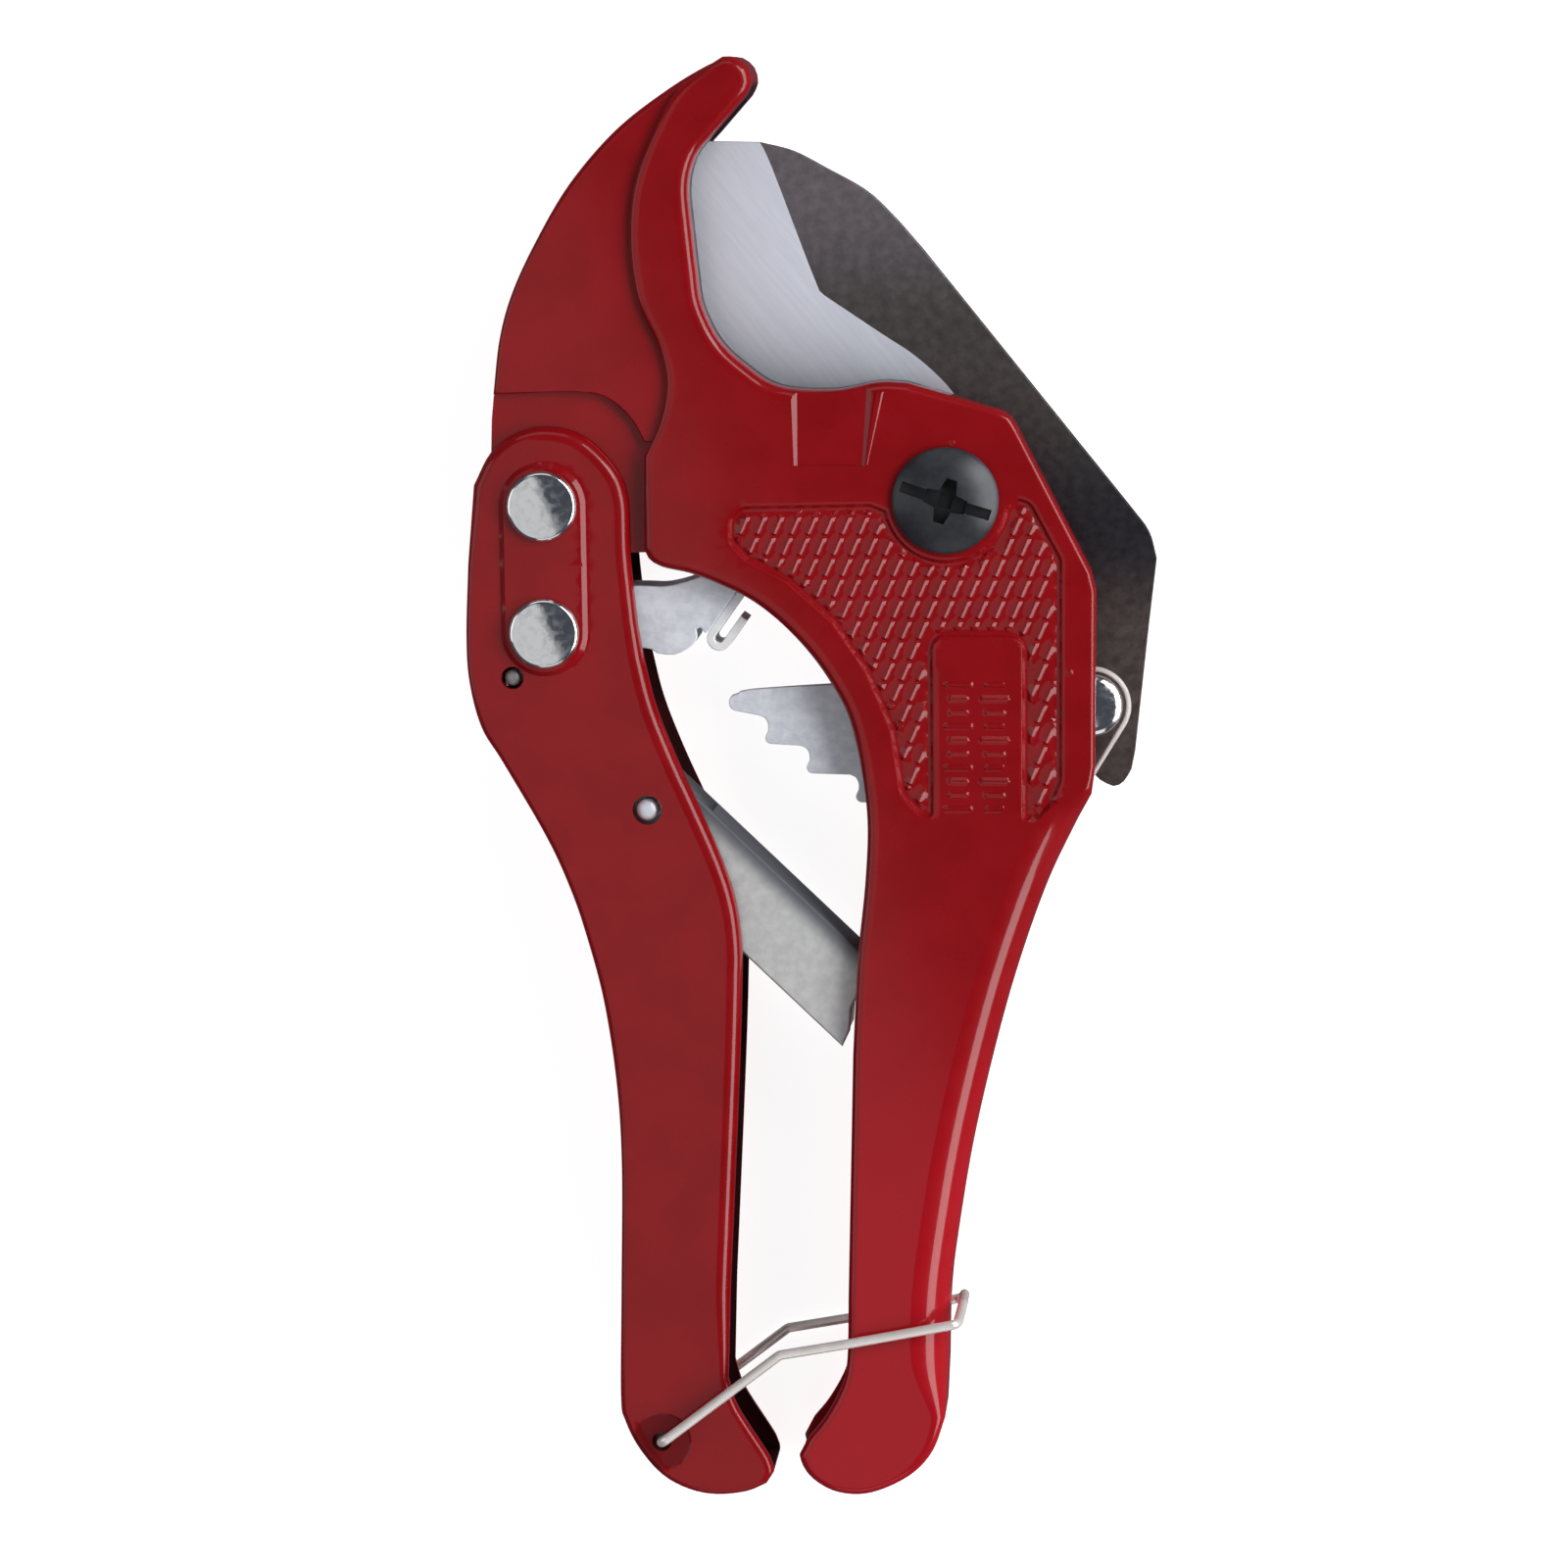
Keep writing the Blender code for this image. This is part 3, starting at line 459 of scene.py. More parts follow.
def combine(target, operation, tools):
    """Joins tools to target or cuts them out of it, and removes them."""
    group = bpy.data.collections.new(target.name + "_tools")
    bpy.context.scene.collection.children.link(group)
    for tool in tools:
        group.objects.link(tool)
        bpy.context.scene.collection.objects.unlink(tool)
    modifier = target.modifiers.new(operation, "BOOLEAN")
    modifier.operation = operation
    modifier.solver = "EXACT"
    modifier.material_mode = "TRANSFER"
    modifier.operand_type = "COLLECTION"
    modifier.collection = group
    apply_modifiers(target)
    for tool in tools:
        bpy.data.objects.remove(tool, do_unlink=True)
    bpy.data.collections.remove(group)


def apply_modifiers(obj):
    graph = bpy.context.evaluated_depsgraph_get()
    shaped = bpy.data.meshes.new_from_object(obj.evaluated_get(graph))
    obj.modifiers.clear()
    obj.data = shaped


def bore(pivot, radius, low=-THROUGH, high=THROUGH, segments=48):
    return slab("bore", circle(pivot, radius, segments), low, high)


def box_outline(low, high):
    return [low, (high[0], low[1]), high, (low[0], high[1])]


def soften(obj, width, segments=2, angle=30):
    """Breaks a piece's sharp edges with a small bevel."""
    bevel = obj.modifiers.new("soft_edges", "BEVEL")
    bevel.width = width * MM
    bevel.segments = segments
    bevel.limit_method = "ANGLE"
    bevel.angle_limit = math.radians(angle)
    bevel.harden_normals = False
    apply_modifiers(obj)
    return obj


def wire(name, points, radius, pivot, look, resolution=4):
    """A round wire along design points, with closed ends."""
    data = bpy.data.curves.new(name, "CURVE")
    data.dimensions = "3D"
    data.bevel_depth = radius * MM
    data.bevel_resolution = resolution
    data.use_fill_caps = True
    origin = Vector((*pivot, 0.0))
    spline = data.splines.new("POLY")
    spline.points.add(len(points) - 1)
    for point, target in zip(points, spline.points):
        target.co = (*((Vector(point) - origin) * MM), 1.0)
    data.materials.append(look)
    path = place(bpy.data.objects.new(name, data), pivot)
    graph = bpy.context.evaluated_depsgraph_get()
    mesh = bpy.data.meshes.new_from_object(path.evaluated_get(graph))
    bpy.data.objects.remove(path, do_unlink=True)
    return place(bpy.data.objects.new(name, mesh), pivot)


def bent_wire_points(corners, radius):
    """A wire's path through corners, each turned with the same bend."""
    points = [corners[0]]
    for before, corner, after in zip(corners, corners[1:], corners[2:]):
        points += bend(before, corner, after, radius, steps=6)
    points.append(corners[-1])
    return points


def coil_points(pivot, radius, turns, pitch, start, z, per_turn=32):
    """A helix round a pivot, from an angle in degrees and a height; negative turns run clockwise."""
    count = round(abs(turns) * per_turn)
    points = []
    for step in range(count + 1):
        angle = math.radians(start) + math.copysign(2 * math.pi * step / per_turn, turns)
        points.append((pivot[0] + radius * math.cos(angle), pivot[1] + radius * math.sin(angle),
                       z + pitch * step / per_turn))
    return points


def finish_piece(obj, body, node):
    """Shades a piece, lets it ride on its body and shows it instead of its CAD node."""
    obj.data.shade_smooth()
    obj.data.set_sharp_from_angle(angle=SHARP_ANGLE)
    weighted = obj.modifiers.new("face_normals", "WEIGHTED_NORMAL")
    weighted.keep_sharp = True
    weighted.weight = 60
    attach(obj, body)
    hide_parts(node)
    return obj


# ---------------------------------------------------------------- cast body with the fixed handle

def cheek_stretches():
    """The raised rib, the cheeks and the fixed handle in one outline, anticlockwise from the jaw's tip."""
    rib = curve([(-33.2, 61.0), (-38.1, 57.1), (-41.6, 50.7), (-44.1, 43.5), (-44.6, 35.4), (-43.4, 27.7),
                 (-40.6, 21.4), (-39.5, 16.4), (-40.4, 11.0), (-42.6, 6.0)])
    throat = curve([(-42.6, -6.8), (-42.0, -8.4), (-40.1, -9.6), (-36.1, -10.5), (-32.1, -12.0),
                    (-27.9, -14.0), (-23.9, -16.9), (-19.9, -20.9), (-16.6, -25.3), (-13.8, -30.5),
                    (-12.0, -37.5), (-11.0, -45.5), (-11.3, -54.4), (-12.4, -65.8), (-13.0, -79.0)])
    grip_inside = curve([(-13.6, -113.1), (-13.8, -123.1), (-14.8, -127.3), (-17.0, -131.4), (-19.3, -134.3)])
    right = curve([(20.7, -41.5), (21.2, -37.6)]) + curve([(21.2, -12.8), (20.5, -10.0)])
    top = curve([(9.8, 10.6), (9.0, 11.8), (7.4, 12.7)])
    saddle = curve([(-5.6, 16.5), (-9.7, 16.6), (-15.9, 15.5), (-23.5, 16.0), (-28.3, 18.9), (-32.0, 22.5),
                    (-34.4, 27.4), (-35.1, 32.0), (-35.8, 38.0), (-36.3, 43.5), (-35.8, 46.8), (-34.8, 49.0),
                    (-32.8, 51.3)])
    tip = curve([(-28.2, 56.6), (-27.4, 58.4), (-27.9, 60.6), (-29.6, 62.0), (-31.5, 62.1)])
    return [(rib, 0.9), (throat, 1.2), (grip_inside, 1.2), (curve(FIXED_TOE), 1.2), (curve(FIXED_SPINE), 5.0),
            (right, 0.9), (top, 0.9), (saddle, 1.6), (tip, 1.6)]


def crescent_stretches():
    """The jaw's lower outer part. Its right side lies hidden inside the rib."""
    outer = curve([(-30.9, 61.9), (-33.6, 60.9), (-39.4, 57.4), (-46.6, 51.8), (-53.1, 44.3), (-57.9, 36.2),
                   (-61.3, 28.9), (-63.1, 22.4), (-64.0, 14.6)])
    step = curve([(-58.0, 14.9), (-52.2, 15.0), (-48.2, 14.3), (-44.8, 11.6), (-42.6, 8.0)])
    hidden = [(-39.5, 8.0), (-37.0, 16.0), (-39.0, 30.0), (-40.0, 42.0), (-36.0, 52.0), (-30.0, 59.0)]
    return [(outer, 0.8), (step, 0.4), (hidden, 0.2)]


def lug_outline():
    """The plain lug that the moving handle's ears straddle."""
    return ([(-40.0, 16.5), (-63.0, 16.5), (-64.0, 14.4), (-64.3, 11.0), (-64.4, 6.0)]
            + arc(HANDLE_PIVOT, 8.0, 175, 270, 16) + [(-50.0, -7.8), (-40.0, -7.6)])


def slot_outline():
    """Where the blade swings: the jaw's slot, the hub and the sweep of the tail."""
    cutting_side = [(-16.2, 3.4), (-33.6, 16.4), (-44.3, 44.8)]
    head = arc(BLADE_PIVOT, HEAD_REACH, 134, -10, 60)
    tail = arc(BLADE_PIVOT, TAIL_REACH, -20, -155, 48)
    hub = arc(BLADE_PIVOT, HUB_REACH, -155, -190, 8)
    return cutting_side + head + tail + hub


def cavity_outline():
    """The hollow behind both faces: the tail's space, the pawl's recess and the fixed handle's channel."""
    spine = offset_path(curve(FIXED_TOE[2:] + FIXED_SPINE), SPINE_WALL)
    pawl_side = [(-24.0, -9.0), (-27.0, -5.6), (-43.2, -5.6), (-43.2, -20.0), (-30.0, -60.0), (-30.0, -136.0)]
    tail_side = [(17.4, -45.0), (18.0, -42.8), (34.0, -42.8), (34.0, -18.0)]
    return arc(BLADE_PIVOT, TAIL_SPACE, -46, -140, 24) + pawl_side + spine + tail_side


def panel_outline():
    """The grip panel's edge: it dips round the screw's head and leaves a plain plate between its legs."""
    round_screw = arc(BLADE_PIVOT, SCREW_CLEAR, 190, 352, 30)
    outline = resample(round_screw + round_corners(PANEL_CORNERS, PANEL_BEND), 0.6)
    return outline if anticlockwise(outline) else outline[::-1]


PANEL = panel_outline()


def knurl_coordinates(points):
    """Counts the knurl's two families of slanted lines: the rising ones, then the falling ones."""
    across = points[:, 0] / KNURL_WIDE
    along = points[:, 1] / (2 * KNURL_TALL)
    return across - along, across + along


# Where the knurl's lines run inside each cell, and how high it stands there.
RIB_LINES = [0.0, 0.45, 0.74, 0.97]
RIB_HEIGHTS = [0.36, 0.4, 0.95, 0.38]
GROOVE_LINES = [0.0, 0.12, 0.24, 0.37, 0.5, 0.63, 0.76, 0.88]
GROOVE_HEIGHTS = [0.34, 0.9, 1.0, 1.0, 1.0, 1.0, 1.0, 0.9]


def knurl(points):
    """Short slanted ribs, each with a narrow facet down its right side, cut apart by falling grooves."""
    rising, falling = knurl_coordinates(points)
    rib = np.interp(rising % 1, RIB_LINES + [1.0], RIB_HEIGHTS + RIB_HEIGHTS[:1])
    groove = np.interp(falling % 1, GROOVE_LINES + [1.0], GROOVE_HEIGHTS + GROOVE_HEIGHTS[:1])
    return np.minimum(rib, groove)


def knurl_points():
    """Points on the knurl's own lines, so that every facet's edge is crisp."""
    low, high = (-32.0, -47.0), (18.0, 2.0)
    families = knurl_coordinates(np.array(box_outline(low, high)))
    cells = [range(math.floor(family.min()), math.ceil(family.max())) for family in families]
    points = []
    for rib, rib_line, groove, groove_line in itertools.product(cells[0], RIB_LINES, cells[1], GROOVE_LINES):
        rising, falling = rib + rib_line, groove + groove_line
        x = (rising + falling) / 2 * KNURL_WIDE
        y = (falling - rising) * KNURL_TALL
        if low[0] < x < high[0] and low[1] < y < high[1]:
            points.append((x, y))
    return points


WALL_DEPTHS = [-0.45, -0.2, 0.0, 0.2, 0.4, 0.6, 0.8]
WALL_HEIGHTS = [0.0, -0.02, -0.1, -0.33, -0.51, -0.58, -RECESS]


def mark_centres():
    """Two columns of plain graduation bars on the plate: (x, y, half length)."""
    marks = []
    for column, x in enumerate(MARK_COLUMNS):
        for row in range(MARK_ROWS):
            half = LONG_MARK if row % 3 == column else SHORT_MARK
            marks.append((x, MARK_TOP - MARK_SPACING * row, half))
    return marks


def mark_height(points):
    """Low rounded bars that stand on the plate."""
    height = np.zeros(len(points))
    for x, y, half in mark_centres():
        along = np.clip(points[:, 0], x - half, x + half)
        away = np.hypot(points[:, 0] - along, points[:, 1] - y)
        height = np.maximum(height, np.interp(away, [0.18, 0.42], [0.22, 0.0]))
    return height


def fleck_height(points):
    """The rounded specks on the cheek."""
    height = np.zeros(len(points))
    for (x, y), size in FLECKS:
        away = np.hypot(points[:, 0] - x, points[:, 1] - y)
        height = np.maximum(height, np.interp(away, [0.2 * size, size], [0.35 * size, 0.0]))
    return height


def cheek_relief(points):
    depth = edge_distance(points, PANEL)
    wall = np.interp(depth, WALL_DEPTHS, WALL_HEIGHTS)
    scales = KNURL_HEIGHT * knurl(points) * np.interp(depth, [0.85, 1.25], [0.0, 1.0])
    return wall + scales + mark_height(points) + fleck_height(points)


def cheek_seeds():
    """Inner points for the cheeks: coarse on the plain metal, fine over the panel, its edge and the marks."""
    fine = knurl_points()
    fine = [p for p, depth in zip(fine, edge_distance(fine, PANEL)) if depth > 1.0]
    inward = inset_directions(PANEL)
    edge = [(x - i.x * depth, y - i.y * depth) for depth in (-d for d in WALL_DEPTHS)
            for (x, y), i in zip(PANEL, inward)]
    plate = grid_points((-0.6, -45.2), (9.6, -24.6), 0.24)
    specks = [point for low, high in FLECK_BOXES for point in grid_points(low, high, 0.15)]
    coarse = grid_points((-70.0, -143.0), (30.0, 63.0), 3.0)
    coarse = [p for p, depth in zip(coarse, edge_distance(coarse, PANEL)) if depth < -1.5]
    return coarse + fine + edge + plate + specks


def ruled(name, near_row, far_row):
    """A solid between two rows of (x, y, z) points, each of which goes once round a cross-section."""
    count = len(near_row)
    sides = [[i, (i + 1) % count, (i + 1) % count + count, i + count] for i in range(count)]
    return solid(name, near_row + far_row, [list(range(count)), list(range(count, 2 * count))] + sides)


def notch_row(y, sections, side):
    """One cross-section of a cut or a rib on a cheek, from (x, height above the cheek) pairs."""
    return [(x, y, side * (CHEEK_HALF + height)) for x, height in sections]


def notch(side):
    """The scooped recess below the saddle: its left wall slopes gently, and it fades out at its foot."""
    top = [(-22.0, 0.0), (-22.0, 1.0), (-9.9, 1.0), (-9.9, 0.0), (-10.9, -0.5), (-21.0, -0.5)]
    foot = [(-21.4, 0.0), (-21.4, 1.0), (-11.4, 1.0), (-11.4, 0.0), (-11.8, -0.2), (-20.9, -0.25)]
    return ruled("notch", notch_row(20.0, top, side), notch_row(4.8, foot, side))


def notch_rib(side):
    """The tapered rib along the recess's right side."""
    top = [(-10.0, -0.5), (-9.8, 0.14), (-9.0, 0.14), (-8.2, -0.3)]
    foot = [(-11.5, -0.4), (-11.4, 0.05), (-11.1, 0.05), (-10.5, -0.3)]
    return ruled("notch_rib", notch_row(15.2, top, side), notch_row(5.0, foot, side))


def build_body(paint):
    """The casting: moulded cheeks, crescent and lug, then its hollows, the slot and the screw's bores."""
    outline, radii = join_stretches(cheek_stretches())
    body = relief_slab("cast_body", outline, radii, CHEEK_HALF, cheek_relief, cheek_seeds(), BLADE_PIVOT,
                       paint)
    outline, radii = join_stretches(crescent_stretches())
    crescent = slab("crescent", outline, -CRESCENT_HALF, CRESCENT_HALF, radii)
    lug = slab("lug", lug_outline(), -LUG_HALF, LUG_HALF)
    cavity = slab("cavity", cavity_outline(), -CAVITY_HALF, CAVITY_HALF)
    slot = slab("slot", slot_outline(), -SLOT_HALF, SLOT_HALF)
    shoulder_bore = bore(BLADE_PIVOT, SCREW_SHOULDER + FIT, low=2.0)
    thread_bore = bore(BLADE_PIVOT, SCREW_THREAD + FIT, high=-2.0)
    combine(body, "UNION", [crescent, lug])
    combine(body, "DIFFERENCE", [cavity, notch(1), notch(-1), bore(HANDLE_PIVOT, RIVET_HOLE)])
    combine(body, "UNION", [notch_rib(1), notch_rib(-1)])
    combine(body, "DIFFERENCE", [slot])
    combine(body, "DIFFERENCE", [bore(BLADE_PIVOT, WASHER_SEAT, -WASHER_SEAT_HALF, WASHER_SEAT_HALF)])
    combine(body, "DIFFERENCE", [shoulder_bore, thread_bore])
    combine(body, "DIFFERENCE", [bore(BLADE_PIVOT, NUT_POCKET, high=NUT_SEAT, segments=6)])
    return finish_piece(body, "cutter_body", "body_frame")


# ---------------------------------------------------------------- pivot hardware

def dome(radius, top, drop, steps=14):
    """(radius, z) down a spherical cap from the axis to its rim, drop below its top."""
    sphere = (radius ** 2 + drop ** 2) / (2 * drop)
    angles = [math.asin(radius / sphere) * step / steps for step in range(steps + 1)]
    return [(sphere * math.sin(a), top - sphere * (1 - math.cos(a))) for a in angles]


def screw_profile():
    """The screw from the top of its dome, past its shoulder, down to the foot of its thread."""
    head_low = CHEEK_HALF + 0.05
    shoulder_low = -2.4
    thread = []
    for turn in range(8):
        z = -3.2 - turn
        thread += [(SCREW_THREAD, z), (SCREW_THREAD - 0.5, z - 0.4), (SCREW_THREAD, z - 0.8)]
    head = dome(SCREW_HEAD, SCREW_TOP, SCREW_TOP - SCREW_RIM) + [(SCREW_HEAD, SCREW_RIM - 0.3),
                                                                 (SCREW_HEAD - 0.15, head_low)]
    shoulder = [(SCREW_SHOULDER, head_low), (SCREW_SHOULDER, shoulder_low), (SCREW_THREAD, shoulder_low)]
    return head + shoulder + thread + [(2.5, -11.4), (0, -11.4)]


def screw_recess(name, corners, depth, look):
    """A tool that cuts a recess into the screw's head, from corners along and across its slot."""
    slope = math.radians(-18)
    along = Vector((math.cos(slope), math.sin(slope)))
    across = Vector((-along.y, along.x))
    outline = [tuple(along * s + across * t) for s, t in corners]
    return slab(name, outline, SCREW_TOP - depth, SCREW_TOP + 1, look=look)


def build_screw(black, recess_shade_black):
    """A domed screw with a long slot and a cross recess, a shoulder and a threaded end."""
    screw = turned("domed_screw", screw_profile(), BLADE_PIVOT, black, segments=96)
    long_slot = box_outline((-6.6, -0.78), (6.6, 0.78))
    cross = [(-0.75, -3.2), (0.75, -3.2), (1.25, -1.25), (3.0, -0.95), (3.0, 0.95), (1.25, 1.25),
             (0.75, 3.2), (-0.75, 3.2), (-1.25, 1.25), (-3.0, 0.95), (-3.0, -0.95), (-1.25, -1.25)]
    well = box_outline((-1.0, -1.0), (1.0, 1.0))
    # The recesses are cut with the darker black: painted shade.
    for name, corners, depth in (("long_slot", long_slot, 1.9), ("cross", cross, 2.2), ("well", well, 2.6)):
        combine(screw, "DIFFERENCE", [screw_recess(name, corners, depth, recess_shade_black)])
    soften(screw, 0.09)
    return finish_piece(screw, "cutter_body", "pivot_screw")


def build_nut(black):
    """A hexagon nut whose corners are turned off at both faces."""
    low, high = NUT_FACES
    face, waist, slope = 5.0, 5.9, 0.5
    nut = slab("hexagon_nut", circle(BLADE_PIVOT, NUT_CORNER, 6), low, high, look=black)
    profile = [(0, high), (face, high), (waist, high - slope), (waist, low + slope), (face, low), (0, low)]
    combine(nut, "INTERSECT", [turned("chamfer", profile, BLADE_PIVOT)])
    combine(nut, "DIFFERENCE", [bore(BLADE_PIVOT, SCREW_THREAD + 0.1)])
    soften(nut, 0.12)
    return finish_piece(nut, "cutter_body", "pivot_nut")


def build_washers(black, zinc):
    """The split washer under the nut, and the two thin washers that the blade turns between."""
    split = slab("split_washer", circle(BLADE_PIVOT, 5.0, 48), -6.8, -5.4, 0.15, steps=2, look=black)
    gap = slab("gap", [(2.0, -0.5), (7.0, -0.2), (7.0, 0.5), (2.0, 0.2)], -8.0, -4.0)
    combine(split, "DIFFERENCE", [bore(BLADE_PIVOT, SCREW_THREAD + 0.3), gap])
    finish_piece(split, "cutter_body", "lock_washer")
    for side, end in ((1, "near"), (-1, "far")):
        low, high = sorted((side * (SLOT_HALF - 0.1), side * (SLOT_HALF + 0.4)))
        thin = slab(f"thin_washer_{end}", circle(BLADE_PIVOT, 8.5, 64), low, high, 0.1, steps=2, look=zinc)
        combine(thin, "DIFFERENCE", [bore(BLADE_PIVOT, SCREW_SHOULDER + 0.2)])
        finish_piece(thin, "cutter_body", f"blade_washer_{end}")


def rivet_profile(shank):
    """Half of a rivet, from the top of its crowned head down to its shank. The far half mirrors it."""
    crown, roll, seat = 0.22, 0.75, BOSS_TOP + 0.03
    flat = RIVET_HEAD - roll
    rim_top = RIVET_TOP - crown
    face = [(r, RIVET_TOP - crown * (r / flat) ** 2) for r in (0.0, 1.0, 2.0, 3.0, 3.8)]
    rim = [(flat + roll * math.sin(a), rim_top - roll * (1 - math.cos(a)))
           for a in (math.radians(15 * step) for step in range(7))]
    return face + rim + [(RIVET_HEAD, seat + 0.2), (RIVET_HEAD - 0.15, seat), (shank, seat)]


def mirrored(profile):
    """A turned profile followed by its mirror image below the mid-plane."""
    return profile + [(r, -z) for r, z in reversed(profile)]


def build_rivet(node, pivot, shank, bright):
    rivet = turned(f"{node}_head", mirrored(rivet_profile(shank)), pivot, bright, segments=96)
    return finish_piece(rivet, "handle_group", node)


def build_pin(node, name, pivot, radius, look):
    """A small pin with domed ends."""
    round_end = [(radius * math.sin(a), PIN_TOP - radius * 0.55 * (1 - math.cos(a)))
                 for a in (math.radians(15 * step) for step in range(7))]
    pin = turned(name, mirrored(round_end), pivot, look, segments=48)
    return finish_piece(pin, "handle_group", node)


# ---------------------------------------------------------------- moving handle

# The raised racetrack's rounded wall: the distances from its middle line, and the height at each.
RACETRACK_RIM = [5.2, 5.45, 5.8, 6.15, 6.4]
RACETRACK_HEIGHTS = [1.0, 0.93, 0.5, 0.07, 0.0]
# The shallow round mark that the bail's eye wears into the foot.
WORN_RIM = [3.95, 4.25]
WORN_DEPTH = 0.14


def boss_relief(points):
    """The raised racetrack round both rivets, and the bail's worn mark."""
    top, low = np.array(HANDLE_PIVOT), np.array(PAWL_PIVOT)
    along = low - top
    t = np.clip(((points - top) @ along) / (along @ along), 0, 1)
    away = np.linalg.norm(points - top - t[:, None] * along, axis=1)
    worn = np.hypot(points[:, 0] - BAIL_PIVOT[0], points[:, 1] - BAIL_PIVOT[1])
    racetrack = np.interp(away, RACETRACK_RIM, RACETRACK_HEIGHTS)
    return BOSS_RISE * racetrack - WORN_DEPTH * np.interp(worn, WORN_RIM, [1.0, 0.0])


def boss_seeds():
    rims = []
    for radius in RACETRACK_RIM:
        rims += resample(arc(HANDLE_PIVOT, radius, 0, 180, 24) + arc(PAWL_PIVOT, radius, 180, 360, 24), 0.8)
    for radius in WORN_RIM:
        rims += circle(BAIL_PIVOT, radius, 36)
    return rims + grid_points((-68.0, -143.0), (-24.0, 10.0), 2.4)


def build_handle(paint, channel_shade_paint):
    """The pressed channel handle: two walls and a spine on the outer side."""
    ear = curve([(-43.6, -17.4), (-44.6, -8.0), (-45.0, 0.2), (-47.0, 4.8), (-51.4, 8.9), (-56.4, 10.1),
                 (-60.8, 9.2), (-64.4, 6.4), (-66.8, 1.8)])
    toe = curve([(-24.3, -139.3), (-24.9, -137.1), (-29.4, -130.0), (-30.8, -125.8)])
    inside = curve([(-30.5, -113.3), (-29.2, -82.3), (-28.8, -68.8), (-28.8, -63.2), (-29.6, -57.4),
                    (-31.4, -51.7), (-34.6, -44.3), (-38.2, -36.4), (-41.0, -29.2), (-42.7, -22.5)])
    outline, radii = join_stretches([(ear, 1.6), (curve(MOVING_SPINE), 0.9), (toe, 0.9), (inside, 1.8)])
    handle = relief_slab("pressed_handle", outline, radii, HANDLE_HALF, boss_relief, boss_seeds(),
                         HANDLE_PIVOT, paint)
    spine_top = -7.0
    channel = offset_path(curve(MOVING_SPINE), HANDLE_WALL)
    channel[0] = (channel[0][0], spine_top)
    channel += [(-15.0, -138.0), (-15.0, 16.0), (-75.0, 16.0), (-75.0, spine_top)]
    half = HANDLE_HALF - HANDLE_WALL
    holes = ((HANDLE_PIVOT, RIVET_HOLE), (PAWL_PIVOT, PAWL_HOLE), (ANCHOR, ANCHOR_HOLE),
             (ARM_PIVOT, ARM_HOLE), (BAIL_PIVOT, BAIL_HOLE))
    # The channel's inside gets near-black enamel: painted shade.
    combine(handle, "DIFFERENCE", [slab("channel", channel, -half, half, look=channel_shade_paint)])
    combine(handle, "DIFFERENCE", [bore(pivot, radius) for pivot, radius in holes])
    return finish_piece(handle, "handle_group", "moving_handle")


# ---------------------------------------------------------------- blade, rack and their spring

def blade_back():
    """The blade's outline away from its bevel: the back, the tail, the heel and the hub."""
    back = curve([(-26.7, 50.1), (-22.0, 48.9), (-17.3, 46.5), (-11.6, 43.3), (-7.6, 39.6), (-3.6, 35.1)])
    tail = (curve([(26.0, -1.4), (28.6, -4.9), (29.7, -8.7)]) + curve([(28.6, -18.6), (26.8, -36.0)])
            + curve([(26.3, -38.6), (25.2, -40.4), (23.7, -41.1), (21.8, -40.2)]))
    heel = curve([(17.5, -36.0), (14.0, -31.0), (10.5, -24.0), (4.0, -15.0), (-3.0, -12.8), (-9.0, -9.0),
                  (-12.6, -3.0), (-13.2, 1.5)])
    return back + tail + heel


def even_points(path, count):
    """count + 1 points at even distances along an open path."""
    lengths = [0.0]
    for start, end in zip(path, path[1:]):
        lengths.append(lengths[-1] + (Vector(end) - Vector(start)).length)
    wanted = [lengths[-1] * step / count for step in range(count + 1)]
    return list(zip(*(np.interp(wanted, lengths, values) for values in zip(*path))))


def build_blade(plate, ground):
    """A flat plate with a long bevel ground on both faces, down to a thin cutting edge.

    Its points are the near and the far outline of the plate, then the near and the far side of the edge.
    """
    strips = 48
    edge_half = 0.12
    back = blade_back()
    start = even_points(curve(BEVEL_HEAD) + curve(BEVEL_FOOT), strips)
    edge = even_points(curve(CUTTING_EDGE), strips)
    thick = back + start[:0:-1]
    count = len(thick)
    heel = len(back) - 1
    near_edge = 2 * count
    far_edge = near_edge + len(edge)
    vertices = [(x, y, z) for z in (BLADE_HALF, -BLADE_HALF) for x, y in thick]
    vertices += [(x, y, z) for z in (edge_half, -edge_half) for x, y in edge]
    start_row = [0] + list(range(count - 1, heel, -1))

    faces = [list(range(count)), list(range(count, 2 * count))]
    faces += [[i, i + 1, count + i + 1, count + i] for i in range(heel)]
    faces += [[near_edge + i, near_edge + i + 1, far_edge + i + 1, far_edge + i] for i in range(strips)]
    faces.append([0, near_edge, far_edge, count])
    faces.append([heel, near_edge + strips, far_edge + strips, count + heel])
    bevels = []
    for outline, row in ((0, near_edge), (count, far_edge)):
        bevels += [[outline + a, outline + b, row + i + 1, row + i]
                   for i, (a, b) in enumerate(zip(start_row, start_row[1:]))]
        bevels.append([outline + heel, outline + heel + 1, row + strips])
    blade = solid("cutter_blade", vertices, faces + bevels, look=plate)
    blade.data.materials.append(ground)
    for polygon in blade.data.polygons[len(faces):]:
        polygon.material_index = 1
    combine(blade, "DIFFERENCE", [bore(BLADE_PIVOT, SCREW_SHOULDER + 0.1), bore(RACK_PIVOT, RACK_HOLE)])
    soften(blade, 0.14, angle=50)
    return finish_piece(blade, "blade_group", "blade")


def rack_tooth(x, high, low):
    """A hooked tooth from its rounded lower corner up to the next step; x is its left side."""
    lobe = 0.85
    rise = [(x + 0.55, low + 1.9), (x + 0.5, high - 1.2), (x + 0.1, high - 0.45), (x - 0.7, high - 0.05)]
    return arc((x + 1.0, low + lobe), lobe, 270, 150, 6) + curve(rise, 0.3)


